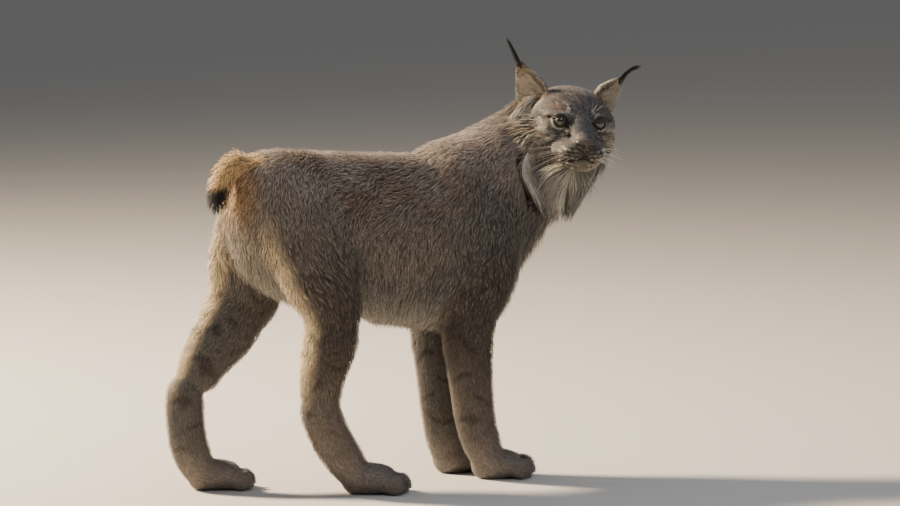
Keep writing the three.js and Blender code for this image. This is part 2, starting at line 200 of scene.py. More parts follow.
def thread(values: Array, t: Array) -> Array:
    """A centripetal Catmull-Rom curve through rows of values.

    Args:
        values: One row for each station.
        t: Shares along the curve, from 0 to 1.

    Returns:
        One row for each t.
    """
    last = len(values) - 1
    place = np.clip(t, 0, 1) * last
    first = np.minimum(place.astype(int), last - 1)
    weight = (place - first)[:, None]
    padded = np.vstack([2 * values[0] - values[1], values, 2 * values[-1] - values[-2]])
    p0, p1, p2, p3 = (padded[first + k] for k in range(4))
    steps = [np.sum((b - a) ** 2, axis=1, keepdims=True) ** 0.25 for a, b in ((p0, p1), (p1, p2), (p2, p3))]
    dt1 = np.where(steps[1] < 1e-4, 1.0, steps[1])
    dt0 = np.where(steps[0] < 1e-4, dt1, steps[0])
    dt2 = np.where(steps[2] < 1e-4, dt1, steps[2])
    m1 = ((p1 - p0) / dt0 - (p2 - p0) / (dt0 + dt1) + (p2 - p1) / dt1) * dt1
    m2 = ((p2 - p1) / dt1 - (p3 - p1) / (dt1 + dt2) + (p3 - p2) / dt2) * dt1
    cubic = 2 * p1 - 2 * p2 + m1 + m2
    square = -3 * p1 + 3 * p2 - 2 * m1 - m2
    return p1 + weight * (m1 + weight * (square + weight * cubic))


@dataclass(frozen=True)
class Station:
    """One section of a form: its middle, half width, half height, and how much fuller it is below."""

    at: Place
    wide: float
    high: float
    pear: float = 0.0
    side: Place | None = None


@dataclass(frozen=True)
class Pile:
    """The hair on a form: its length, how far it stands off at the root and tip, and how far apart."""

    length: float
    root_lift: float = 46.0
    tip_lift: float = 12.0
    thick: float = 0.95
    apart: float = 3.0


@dataclass
class Form:
    """A rounded part of the body: a sphere's grid laid along a smooth line of stations."""

    zone: str
    stations: list[Station]
    pile: Pile
    lie: Lie = Lie.DOWN_COURSE
    side: Place = (0.0, 1.0, 0.0)
    facing: Place | None = None
    inset: float = 0.0
    cap: float = 0.14
    dished: float = 0.0
    place: Matrix = field(default_factory=lambda: Matrix.Identity(4))

    def course(self, t: Array) -> tuple[Array, ...]:
        """Gives the frame of the form's line at shares t.

        Args:
            t: Shares along the line.

        Returns:
            Middles, directions along, directions across, directions up, and sizes (width, height, pear).
        """
        at = np.array([s.at for s in self.stations])
        girth = np.array([(s.wide, s.high, s.pear) for s in self.stations])
        sideways = np.array([s.side or self.side for s in self.stations], float)
        along = unit(thread(at, np.minimum(t + 1e-3, 1)) - thread(at, np.maximum(t - 1e-3, 0)))
        if self.facing:
            along = np.broadcast_to(np.array(self.facing, float), along.shape)
        lateral = thread(sideways, t)
        lateral = in_plane(lateral, along)
        return thread(at, t), along, lateral, np.cross(along, lateral), thread(girth, t)

    def place_at(self, t: Array, across: Array, upward: Array) -> Array:
        """Gives places on or in the form, in the model's frame.

        Args:
            t: Shares along the form.
            across: Shares of the half width.
            upward: Shares of the half height.

        Returns:
            One place for each t.
        """
        middle, _, lateral, normal, size = self.course(t)
        reach = size[:, 0] * across * (1 - size[:, 2] * upward)
        lift = size[:, 1] * upward
        if self.dished:
            lift = np.where(upward > 0, -(np.maximum(size[:, 1] - self.dished, 0)) * upward, lift)
        local = middle + lateral * reach[:, None] + normal * lift[:, None]
        turn = np.array(self.place)
        return local @ turn[:3, :3].T + turn[:3, 3]

    def build(self, shell: Shell, sides: int = 28, rings: int = 22) -> None:
        """Adds the form's closed surface to a mesh, drawn in by the coat's depth.

        Args:
            shell: The mesh that takes it.
            sides: Faces round the form.
            rings: Faces along the form.
        """
        made = bmesh.ops.create_uvsphere(shell, u_segments=sides, v_segments=rings, radius=1.0)["verts"]
        grid = np.array([v.co for v in made])
        share = np.arccos(np.clip(grid[:, 2], -1, 1)) / math.pi
        t = share - RING_CROWDING * np.sin(2 * math.pi * share) / (2 * math.pi)
        ring = np.hypot(grid[:, 0], grid[:, 1])
        across = np.where(ring > 1e-6, grid[:, 0] / np.maximum(ring, 1e-6), 0)
        upward = np.where(ring > 1e-6, -grid[:, 1] / np.maximum(ring, 1e-6), 0)
        near_end = np.minimum(t, 1 - t) / self.cap
        rounded = np.where(near_end < 1, np.sqrt(np.clip(1 - (1 - near_end) ** 2, 0, 1)), 1)
        for vertex, where in zip(made, self.place_at(t, across * rounded, upward * rounded)):
            vertex.co = where
        if self.inset:
            faces = {f for v in made for f in v.link_faces}
            bmesh.ops.recalc_face_normals(shell, faces=list(faces))
            for vertex in made:
                vertex.normal_update()
            for vertex in made:
                vertex.co -= vertex.normal * self.inset

    def samples(self, count: int) -> dict[str, Array]:
        """Gives sections along the form for finding which form a point belongs to.

        Args:
            count: How many sections.

        Returns:
            Arrays of middles, axes and sizes in the model's frame.
        """
        middle, along, lateral, normal, size = self.course(np.linspace(*SAMPLED, count))
        turn = np.array(self.place)
        rotate = turn[:3, :3].T
        return {
            "middle": middle @ rotate + turn[:3, 3],
            "along": along @ rotate,
            "lateral": lateral @ rotate,
            "normal": normal @ rotate,
            "size": size,
        }

    def measure(self, points: Array, count: int) -> tuple[dict, Array, Array, Array]:
        """Measures points against sections along the form.

        Args:
            points: Places in the model's frame.
            count: How many sections.

        Returns:
            The sections, and for each point and section its share of the half width, its share of the
            half height, and the distance along the form in millimetres.
        """
        cut = self.samples(count)
        offset = points[:, None] - cut["middle"]
        wide = np.einsum("nmk,mk->nm", offset, cut["lateral"]) / cut["size"][:, 0]
        high = np.einsum("nmk,mk->nm", offset, cut["normal"]) / cut["size"][:, 1]
        return cut, wide, high, np.einsum("nmk,mk->nm", offset, cut["along"])


def ball(zone: str, at: tuple, radii: tuple, pile: Pile, turn: tuple = (0, 0, 0), **more: object) -> Form:
    """An egg-shaped form with its own radii and turn.

    Args:
        zone: The part of the animal that it belongs to.
        at: Its middle.
        radii: Its radii along x, y and z before it is turned.
        pile: Its hair.
        turn: Euler angles in degrees.
        more: Other fields of Form; place is applied after the ball's own place.

    Returns:
        The form.
    """
    rx, ry, rz = radii
    own = Matrix.Translation(Vector(at)) @ Euler([math.radians(a) for a in turn], "ZYX").to_matrix().to_4x4()
    outer = more.pop("place", Matrix.Identity(4))
    stations = [Station((-rx, 0, 0), ry, rz), Station((0, 0, 0), ry, rz), Station((rx, 0, 0), ry, rz)]
    return Form(zone, stations, pile, cap=0.5, place=outer @ own, **more)


# The body's forms are the outside of the coat, and each form's inset takes the coat's depth off

TRUNK_PILE = Pile(length=23, root_lift=30, tip_lift=8, thick=0.6, apart=2.6)
THIGH_PILE = Pile(length=19, root_lift=28, tip_lift=7, thick=0.56, apart=2.4)
SHANK_PILE = Pile(length=13, root_lift=34, tip_lift=16, thick=0.48, apart=2.1)
SHIN_PILE = Pile(length=10, root_lift=34, tip_lift=16, thick=0.42, apart=1.9)
NECK_PILE = Pile(length=25, root_lift=32, tip_lift=9, thick=0.6, apart=2.5)
TAIL_PILE = Pile(length=19, root_lift=44, tip_lift=20, thick=0.55, apart=2.2)
PAW_PILE = Pile(length=5.5, root_lift=26, tip_lift=6, thick=0.4, apart=1.55)


def trunk_at(x: float, back: float, belly: float, wide: float, pear: float = 0.08) -> Station:
    """A section of the trunk from the heights of its back and belly."""
    return Station((x, 0, (back + belly) / 2), wide, (back - belly) / 2, pear)


def limb(*sections: tuple[tuple, float, float]) -> list[Station]:
    """Sections down a leg: middle, half width across the body, half depth fore and aft."""
    return [Station(at, wide, high) for at, wide, high in sections]


@dataclass(frozen=True)
class Paw:
    """A foot: where it stands, its turn in degrees, its length and its half width."""

    at: tuple[float, float]
    turn: float
    length: float
    wide: float

    def forms(self, zone: str) -> list[Form]:
        """The foot and its four toes, by shares of the paw's length and half width.

        Args:
            zone: The leg that they belong to.

        Returns:
            The forms.
        """
        turned = Matrix.Rotation(math.radians(self.turn), 4, "Z")
        place = Matrix.Translation(Vector((*self.at, 0))) @ turned
        foot = [
            Station((-self.length / 2, 0, 22), self.wide * 0.72, 26),
            Station((-self.length * 0.22, 0, 24), self.wide * 0.86, 30),
            Station((self.length * 0.1, 0, 22), self.wide * 0.98, 28),
            Station((self.length * 0.31, 0, 17), self.wide * 0.9, 19),
        ]
        forms = [Form(zone, foot, PAW_PILE, cap=0.2, place=place, inset=5.5)]
        for toe in (-1.5, -0.5, 0.5, 1.5):
            reach = self.length * (0.24 if abs(toe) > 1 else 0.33)
            at = (reach, toe * self.wide * 0.5, 16)
            radii = (self.length * 0.17, self.wide * 0.25, 19)
            forms.append(ball(zone, at, radii, PAW_PILE, turn=(0, 14, toe * 7), place=place, inset=2.4))
        return forms

    def creases(self, points: Array) -> Array:
        """A share that is 1 in the gaps between the toes, where painted shade goes.

        Args:
            points: Places in the model's frame.

        Returns:
            One share for each point.
        """
        turn = math.radians(self.turn)
        x, y = points[:, 0] - self.at[0], points[:, 1] - self.at[1]
        ahead = (x * math.cos(turn) + y * math.sin(turn)) / self.length
        aside = (y * math.cos(turn) - x * math.sin(turn)) / (self.wide * 0.5)
        gap = np.abs(aside - np.clip(np.round(aside), -1, 1))
        return smooth(gap, 0.28, 0.1) * smooth(ahead, 0.2, 0.32) * smooth(points[:, 2], 42, 32)


TRUNK = [
    trunk_at(-272, RUMP - 74, 396, 48),
    trunk_at(-246, RUMP - 20, 356, 66),
    trunk_at(-195, RUMP, 314, 86),
    trunk_at(-115, RUMP - 6, 284, 91),
    trunk_at(-30, RUMP - 12, 270, 92, 0.12),
    trunk_at(55, WITHERS + 7, 254, 96, 0.12),
    trunk_at(135, WITHERS, 238, 95, 0.1),
    trunk_at(196, WITHERS - 6, 244, 86),
    trunk_at(238, WITHERS - 28, 272, 72),
    trunk_at(266, WITHERS - 72, 322, 46),
]
HEAD_LEFT = tuple(np.array(HEAD_TURNED)[:, 1] * (1, 1, 0))
NECK = [
    Station((110, 0, 414), 78, 108),
    Station((182, 0, 442), 74, 102),
    Station((244, -2, 484), 62, 80, side=(0.2, 1, 0)),
    Station((298, -18, 522), 60, 70, side=(0.6, 0.8, 0)),
    Station((328, -44, 556), 54, 58, side=HEAD_LEFT),
]
TAIL = [
    Station((-226, 0, RUMP - 22), 28, 28),
    Station((-262, 0, RUMP - 32), 28, 26),
    Station((-285, -3, RUMP - 60), 27, 25),
    Station((-292, -6, RUMP - 90), 27, 24),
    Station((-288, -8, RUMP - 112), 20, 17),
]
LEGS = {
    "hind_right": {
        "upper": limb(((-184, -40, 500), 32, 52), ((-174, -60, 430), 36, 76), ((-150, -80, 355), 40, 78),
                      ((-132, -90, 290), 38, 60), ((-130, -90, 250), 32, 46)),
        "middle": limb(((-128, -89, 300), 34, 50), ((-138, -87, 240), 37, 50), ((-150, -84, 185), 32, 42),
                       ((-152, -82, 140), 29, 38)),
        "lower": limb(((-158, -82, 168), 27, 34), ((-148, -83, 120), 30, 37), ((-122, -86, 72), 31, 35),
                      ((-96, -90, 34), 31, 30), ((-84, -93, 24), 30, 24)),
        "paw": Paw((-62, -99), -28, 118, 41),
    },
    "hind_left": {
        "upper": limb(((-188, 40, 500), 32, 52), ((-184, 60, 430), 36, 80), ((-184, 78, 355), 41, 84),
                      ((-190, 88, 295), 40, 68), ((-205, 88, 255), 34, 54)),
        "middle": limb(((-192, 88, 305), 36, 60), ((-228, 87, 250), 38, 56), ((-268, 84, 205), 34, 46),
                       ((-292, 82, 160), 29, 38)),
        "lower": limb(((-304, 82, 190), 26, 30), ((-305, 82, 135), 29, 35), ((-300, 80, 80), 30, 34),
                      ((-284, 78, 36), 31, 30), ((-274, 76, 24), 30, 24)),
        "paw": Paw((-246, 72), -18, 116, 41),
    },
    "fore_right": {
        "upper": limb(((142, -52, 470), 32, 46), ((172, -66, 400), 38, 62), ((162, -72, 330), 40, 60),
                      ((142, -68, 270), 37, 50), ((133, -63, 230), 34, 43)),
        "lower": limb(((134, -63, 280), 33, 45), ((135, -60, 225), 35, 45), ((144, -56, 160), 32, 40),
                      ((154, -52, 100), 31, 37), ((176, -52, 36), 29, 31), ((184, -53, 22), 29, 26)),
        "paw": Paw((202, -55), -20, 108, 38),
    },
    "fore_left": {
        "upper": limb(((142, 52, 470), 32, 46), ((174, 66, 400), 38, 62), ((164, 72, 330), 40, 60),
                      ((148, 65, 270), 37, 50), ((142, 58, 230), 34, 43)),
        "lower": limb(((144, 59, 280), 33, 45), ((143, 53, 225), 35, 44), ((144, 47, 160), 32, 39),
                      ((148, 44, 100), 31, 36), ((160, 43, 36), 29, 31), ((168, 43, 22), 29, 26)),
        "paw": Paw((186, 42), 4, 108, 38),
    },
}
SEGMENTS = {"upper": (THIGH_PILE, 10.0), "middle": (SHANK_PILE, 7.0), "lower": (SHIN_PILE, 5.0)}


def body_forms() -> list[Form]:
    """Lays out the trunk, neck, tail and legs.

    Returns:
        The forms.
    """
    forms = [
        Form("trunk", TRUNK, TRUNK_PILE, Lie.BACKWARD, facing=(1, 0, 0), cap=0.1, inset=12),
        Form("neck", NECK, NECK_PILE, Lie.UP_COURSE, cap=0.1, inset=13),
        Form("tail", TAIL, TAIL_PILE, cap=0.16, inset=9),
    ]
    for zone, leg in LEGS.items():
        for part, (pile, inset) in SEGMENTS.items():
            if part in leg:
                forms.append(Form(zone, leg[part], pile, cap=0.12, inset=inset))
        forms += leg["paw"].forms(zone)
    return forms


# The head's forms, in its own frame

FACE_PILE = Pile(length=8.5, root_lift=36, tip_lift=12, thick=0.48, apart=1.5)
MUZZLE_PILE = Pile(length=3.4, root_lift=28, tip_lift=6, thick=0.4, apart=1.15)
CHEEK_PILE = Pile(length=17, root_lift=34, tip_lift=12, thick=0.55, apart=1.6)
EAR_PILE = Pile(length=6, root_lift=26, tip_lift=6, thick=0.5, apart=1.5)
HEAD_PLACE = Matrix.Translation(Vector(HEAD_AT)) @ HEAD_TURNED.to_4x4()


@dataclass(frozen=True)
class EarShape:
    """An ear: its root, tip and the tip of its tuft, in the head's frame, and the tuft's bow."""

    side: Side
    root: Place
    tip: Place
    tuft: Place
    bow: Place

    def axes(self) -> tuple[Array, Array, Array]:
        """Gives the ear's own directions.

        Returns:
            The way from root to tip at its full length, the way out of the open side, and the way across.
        """
        along = np.array(self.tip) - np.array(self.root)
        way = unit(along)
        opening = np.array((0.8, self.side.value * 0.45, -0.1))
        opening = unit(opening - way * (opening @ way))
        return along, opening, unit(np.cross(opening, way))

    def form(self) -> Form:
        """Lays out the ear's cup, dished on its open side.

        Returns:
            The form.
        """
        along, _, across = self.axes()
        root = np.array(self.root)
        sections = ((-0.1, 24, 17), (0.25, 26, 16), (0.62, 18, 12), (0.9, 8, 7), (1.04, 3, 3.4))
        stations = [Station(tuple(root + along * share), wide, high) for share, wide, high in sections]
        side = tuple(across)
        return Form("ear", stations, EAR_PILE, side=side, place=HEAD_PLACE, dished=4.2, inset=0.6, cap=0.1)


EARS = {
    "ear_right": EarShape(Side.RIGHT, (-12, -59, 36), (-26, -86, 94), (-36, -108, 136), (0, -2, 4)),
    "ear_left": EarShape(Side.LEFT, (-12, 57, 36), (-32, 90, 77), (-46, 129, 102), (0, 0, 7)),
}


def head_forms() -> list[Form]:
    """Lays out the skull, muzzle, jaw and cheeks, without the ears.

    Returns:
        The forms.
    """
    def station(x: float, z: float, wide: float, high: float, pear: float = 0.0) -> Station:
        """A section on the head's middle plane."""
        return Station((x, 0, z), wide, high, pear)

    def whole(stations: list[Station], pile: Pile, inset: float, cap: float = 0.14) -> Form:
        """A form that lies on the head's middle plane."""
        return Form("head", stations, pile, Lie.FROM_NOSE, place=HEAD_PLACE, inset=inset, cap=cap)

    cranium = [
        station(-74, 2, 46, 42), station(-52, 4, 62, 54), station(-20, 4, 70, 60, -0.08),
        station(12, -1, 69, 55, -0.04), station(36, -10, 60, 44, 0.04), station(52, -18, 46, 34),
        station(62, -26, 29, 23),
    ]
    bridge = [
        station(26, 24, 28, 18), station(52, 6, 21, 15), station(76, -15, 17, 11), station(92, -26, 13, 8),
    ]
    muzzle = [
        station(38, -36, 46, 30), station(64, -37, 39, 24), station(84, -39, 28, 17),
        station(93, -40, 17, 11),
    ]
    jaw = [
        station(78, -55.5, 15, 8), station(60, -54.5, 24, 11), station(26, -49, 42, 20),
        station(-14, -38, 54, 34),
    ]
    forms = [
        whole(cranium, FACE_PILE, 4.0, cap=0.1),
        whole(bridge, MUZZLE_PILE, 1.2),
        whole(muzzle, MUZZLE_PILE, 1.5, cap=0.2),
        whole(jaw, FACE_PILE, 2.5),
    ]
    shared = {"lie": Lie.FROM_NOSE, "place": HEAD_PLACE}
    for side in Side:
        s = side.value
        for at, radii, pile, turn, inset in (
            ((0, s * 42, -18), (43, 26, 36), CHEEK_PILE, (0, 0, s * 12), 5),
            ((70, s * 20, -40), (22, 18, 13), MUZZLE_PILE, (0, 0, s * -16), 1.4),
            ((32, s * 32, 19), (22, 23, 12), FACE_PILE, (s * -16, 20, 0), 1.5),
        ):
            forms.append(ball("head", at, radii, pile, turn=turn, inset=inset, **shared))
    return forms


# Colours and markings

class Tone(Enum):
    """The coat's colours, as sRGB hex values."""

    # BACK is painted lighter, and LOW_FLANK and BELLY darker, than the coat alone: partly own colour, partly
    # painted sunlight on the back and painted shade underneath
    BACK = "a8988b"
    FLANK = "80766c"
    LOW_FLANK = "5c5b59"
    BELLY = "88857d"
    RUMP = "b08d62"
    BREECH = "e0caa4"
    LEG_OUTER = "4e453e"
    LEG_INNER = "67635e"
    SHIN = "7a7067"
    PAW = "867e77"
    TAIL = "cfae7c"
    NECK = "595858"
    HEAD = "524e49"
    FOREHEAD = "4c4e51"
    CHEEK = "7c766a"
    MUZZLE = "524d49"
    WHITE = "ccc8bd"
    TAN = "a58662"
    CREAM = "bab6aa"
    EAR_BACK = "857868"
    EAR_INSIDE = "a8967c"
    RUSSET = "6b4f3c"
    DARK = "2b2420"
    BLACK = "15110f"
    PALE_TIP = "cfc6b8"

    @property
    def rgb(self) -> Array:
        """The colour in linear values."""
        return linear(self.value)


# Distances in the markings are in millimetres, and shares of a colour or a direction are from 0 to 1
BAR_SPACING = 31
ROW_SPACING = 6.4
EAR_ARC_SPACING = 9.0


@dataclass
class Marks:
    """Colours at some points, and how many of the hair tips there are pale or dark."""

    colour: Array
    pale: Array
    dark: Array

    def paint(self, tone: Tone, share: Array) -> None:
        """Blends a colour in, by a share for each point."""
        self.colour = blend(self.colour, tone.rgb, np.clip(share, 0, 1))

    @classmethod
    def plain(cls, tone: Tone, count: int, pale: float, dark: float) -> "Marks":
        """One colour at every point, with the same shares of pale and dark tips."""
        return cls(np.tile(tone.rgb, (count, 1)), np.full(count, pale), np.full(count, dark))

    def calm(self, share: Array) -> None:
        """Takes the pale and dark tips out where share is 1."""
        self.pale = self.pale * (1 - share)
        self.dark = self.dark * (1 - share)


def paint_leg(marks: Marks, name: str, points: Array, high: Array, normals: Array,
              zone: Array) -> None:
    """Paints one leg: its outside, shin, paw with painted shade between the toes, faint bars, and a thigh's
    pale back.

    Args:
        marks: What is painted on.
        name: Which leg.
        points: Places in the model's frame.
        high: Their heights, with the markings' wavy edges.
        normals: The skin's directions outward there.
        zone: How much the leg has to do with each point.
    """
    z = points[:, 2]
    side = Side.RIGHT if name.endswith("right") else Side.LEFT
    outer = smooth(normals[:, 1] * side.value, -0.45, 0.35)
    leg = zone * smooth(high, 440, 300)
    marks.paint(Tone.LEG_INNER, leg * smooth(high, 400, 330))
    marks.paint(Tone.LEG_OUTER, leg * outer * 0.9)
    marks.paint(Tone.SHIN, zone * smooth(high, 230, 120) * outer * 0.9)
    if name.startswith("hind"):
        breech = smooth(normals[:, 0], -0.45, -0.9) * smooth(z, 120, 240)
        marks.paint(Tone.BREECH, zone * breech * smooth(z, 520, 400))
    marks.paint(Tone.PAW, zone * smooth(z, 90, 30))
    # Painted shade: the gaps between the toes are painted dark
    marks.paint(Tone.DARK, zone * LEGS[name]["paw"].creases(points) * 0.8)
    ring = np.sin(2 * math.pi * z / BAR_SPACING + 2.4 * wander(points, 55, 11))
    patch = smooth(wander(points, 42, 12), -0.4, 0.6)
    bars = smooth(ring, 0.45, 0.95) * patch * zone * smooth(z, 40, 90) * smooth(z, 430, 330)
    marks.paint(Tone.DARK, bars * 0.55)


def body_marks(points: Array, normals: Array, zones: dict[str, Array]) -> Marks:
    """Colours the trunk, neck, legs and tail.

    Args:
        points: Places in the model's frame.
        normals: The skin's directions outward there.
        zones: How much each part of the body has to do with each point.

    Returns:
        The colours.
    """
    x, y, z = points.T
    drift = wander(points, 70, 3)
    high = z + 12 * drift
    # Lighter towards the back and darker towards the low flank and belly: partly the coat's own colours,
    # partly painted sunlight on top and painted shade below
    marks = Marks.plain(Tone.LOW_FLANK, len(points), pale=0.26, dark=0.22)
    marks.paint(Tone.FLANK, smooth(high, 290, 380))
    marks.paint(Tone.BACK, smooth(high, 440, 535) * 0.9)
    trunk = zones["trunk"] + zones["neck"]
    marks.paint(Tone.BELLY, smooth(normals[:, 2], -0.25, -0.8) * trunk * smooth(z, 420, 330))
    marks.paint(Tone.NECK, zones["neck"] * smooth(x, 150, 240) * 0.85)
    shoulder = zones["fore_right"] + zones["fore_left"] + zones["trunk"] * smooth(x, 60, 130)
    marks.paint(Tone.NECK, shoulder * smooth(high, 300, 360) * smooth(high, 520, 440) * 0.8)
    marks.paint(Tone.TAN, zones["neck"] * smooth(normals[:, 2], 0.2, 0.8) * smooth(x, 180, 260) * 0.3)
    marks.paint(Tone.BELLY, zones["neck"] * smooth(normals[:, 2], -0.1, -0.7) * smooth(x, 230, 290) * 0.7)
    marks.paint(Tone.RUMP, smooth(x, -222, -262) * smooth(z, 400, 470) * smooth(np.abs(y), 64, 30))
    for name in LEGS:
        paint_leg(marks, name, points, high, normals, zones[name])
    spots = smooth(wander(points, 24, 21), 0.8, 1.5) * zones["trunk"] * smooth(z, 290, 350)
    marks.paint(Tone.DARK, spots * 0.4)
    mottle = smooth(wander(points, 16, 22), 0.2, 1.4)
    marks.paint(Tone.DARK, mottle * 0.24 * smooth(z, 250, 380))
    warm = smooth(wander(points, 95, 24), 0.0, 0.9) * smooth(z, 400, 470)
    marks.paint(Tone.RUSSET, warm * zones["trunk"] * 0.45)
    marks.paint(Tone.TAIL, smooth(zones["tail"], 0.1, 0.7))
    tip = np.array(TAIL[-1].at)
    from_tip = np.linalg.norm(points - tip - (-4, 0, 6), axis=1) + 3 * wander(points, 12, 23)
    level = z - 0.3 * (x + 270)
    black_tail = smooth(from_tip, 60, 52) * smooth(level, 494, 484) * smooth(x, -260, -268)
    marks.paint(Tone.BLACK, black_tail)
    legs = sum(zones[name] for name in LEGS)
    marks.calm(np.clip(0.75 * legs * smooth(z, 380, 200) + zones["tail"], 0, 1))
    return marks


@dataclass(frozen=True)
class Streak:
    """A streak on both sides of the face, by places in the head's frame with y outward."""

    tone: Tone
    strength: float
    half_width: float
    path: tuple[Place, ...]


STREAKS = (
    Streak(Tone.RUSSET, 0.6, 7.0, ((42, 30, 29), (34, 38, 30), (22, 44, 32))),
    Streak(Tone.RUSSET, 0.6, 5.0, ((32, 0, 44), (14, 0, 54), (-12, 0, 60))),
    Streak(Tone.DARK, 0.9, 6.0, ((30, 24, 43), (16, 26, 50), (-4, 29, 55))),
    Streak(Tone.DARK, 0.8, 4.6, ((22, 38, 37), (6, 42, 41), (-12, 44, 44))),
    Streak(Tone.DARK, 0.95, 2.4, ((53, 13, 18), (50, 16, 27), (42, 17, 38), (30, 18, 46))),
    Streak(Tone.DARK, 0.85, 2.2, ((57, 5, 14), (46, 5, 32), (32, 7, 45), (12, 9, 54))),
    Streak(Tone.DARK, 1.0, 3.0, ((47, 44, 13), (37, 52, 15), (20, 60, 14), (-2, 66, 8))),
    Streak(Tone.DARK, 0.95, 2.8, ((44, 46, -8), (28, 58, -14), (8, 68, -22), (-12, 72, -32))),
    Streak(Tone.DARK, 0.95, 2.8, ((46, 41, -24), (30, 54, -34), (12, 64, -46))),
    Streak(Tone.CREAM, 0.85, 2.6, ((51, 21, 23), (46, 20, 34), (36, 21, 42))),
    Streak(Tone.CREAM, 0.7, 3.0, ((50, 42, 0), (36, 53, -3), (18, 63, -8), (0, 69, -14))),
    Streak(Tone.CREAM, 0.7, 3.2, ((46, 43, -16), (30, 56, -25), (10, 66, -35))),
    Streak(Tone.CREAM, 0.8, 3.2, ((54, 36, -36), (38, 50, -45), (16, 60, -56))),
)


def paint_lids(marks: Marks, local: Array) -> None:
    """Paints the white under and over the eyes, the dark at their inner corners, and the black lids.

    Args:
        marks: What is painted on.
        local: Places in the head's own frame.
    """
    under, brow, tear = np.zeros((3, len(local)))
    for side in Side:
        radius, across, up = on_eye(local, side)
        near = almond(across, up)
        close = radius < EYE_REACH
        below = smooth(up, 1.5, -2.5) * smooth(across, -11, -5)
        under = np.maximum(under, close * smooth(near, 6.0, 4.2) * below)
        above = smooth(across, 8, 0) * smooth(across, -14, -8) * (up > 4)
        brow = np.maximum(brow, close * smooth(np.abs(near - 7.2), 3.0, 1.2) * above)
        tear = np.maximum(tear, close * smooth(np.hypot(across + 21, up + 7), 7, 3))
    marks.paint(Tone.WHITE, np.clip(under + brow * 0.5, 0, 1) * 0.9)
    marks.paint(Tone.DARK, tear * 0.7)
    marks.paint(Tone.BLACK, lid_edge(local, 3.6))


def paint_ear(marks: Marks, shape: EarShape, local: Array, facing: Array, zone: Array) -> None:
    """Paints one ear: its back, its cup with faint arcs, the pale edge and the black tip.

    Args:
        marks: What is painted on.
        shape: Which ear.
        local: Places in the head's own frame.
        facing: The skin's directions outward there, in the same frame.
        zone: How much the ears have to do with each point.
    """
    along, opening, across = shape.axes()
    rise = (local - shape.root) @ along / (along @ along)
    sideways = np.abs((local - shape.root - rise[:, None] * along) @ across)
    here = zone * (local[:, 1] * shape.side.value > 0)
    behind = facing @ opening < 0
    edge = smooth(sideways, 23.5 - 20 * np.clip(rise, 0, 1), 28.5 - 22.5 * np.clip(rise, 0, 1))
    arcs = smooth(np.sin(2 * math.pi * (rise * 62 + 0.5 * sideways) / EAR_ARC_SPACING), 0.1, 0.8)
    marks.paint(Tone.EAR_BACK, here * behind)
    marks.paint(Tone.EAR_INSIDE, here * ~behind)
    marks.paint(Tone.RUSSET, here * ~behind * arcs * smooth(rise, 0.9, 0.6) * 0.5)
    marks.paint(Tone.CREAM, here * smooth(rise, 0.9, 0.6) * edge * 0.6)
    marks.paint(Tone.BLACK, here * smooth(rise, 0.88, 1.0))


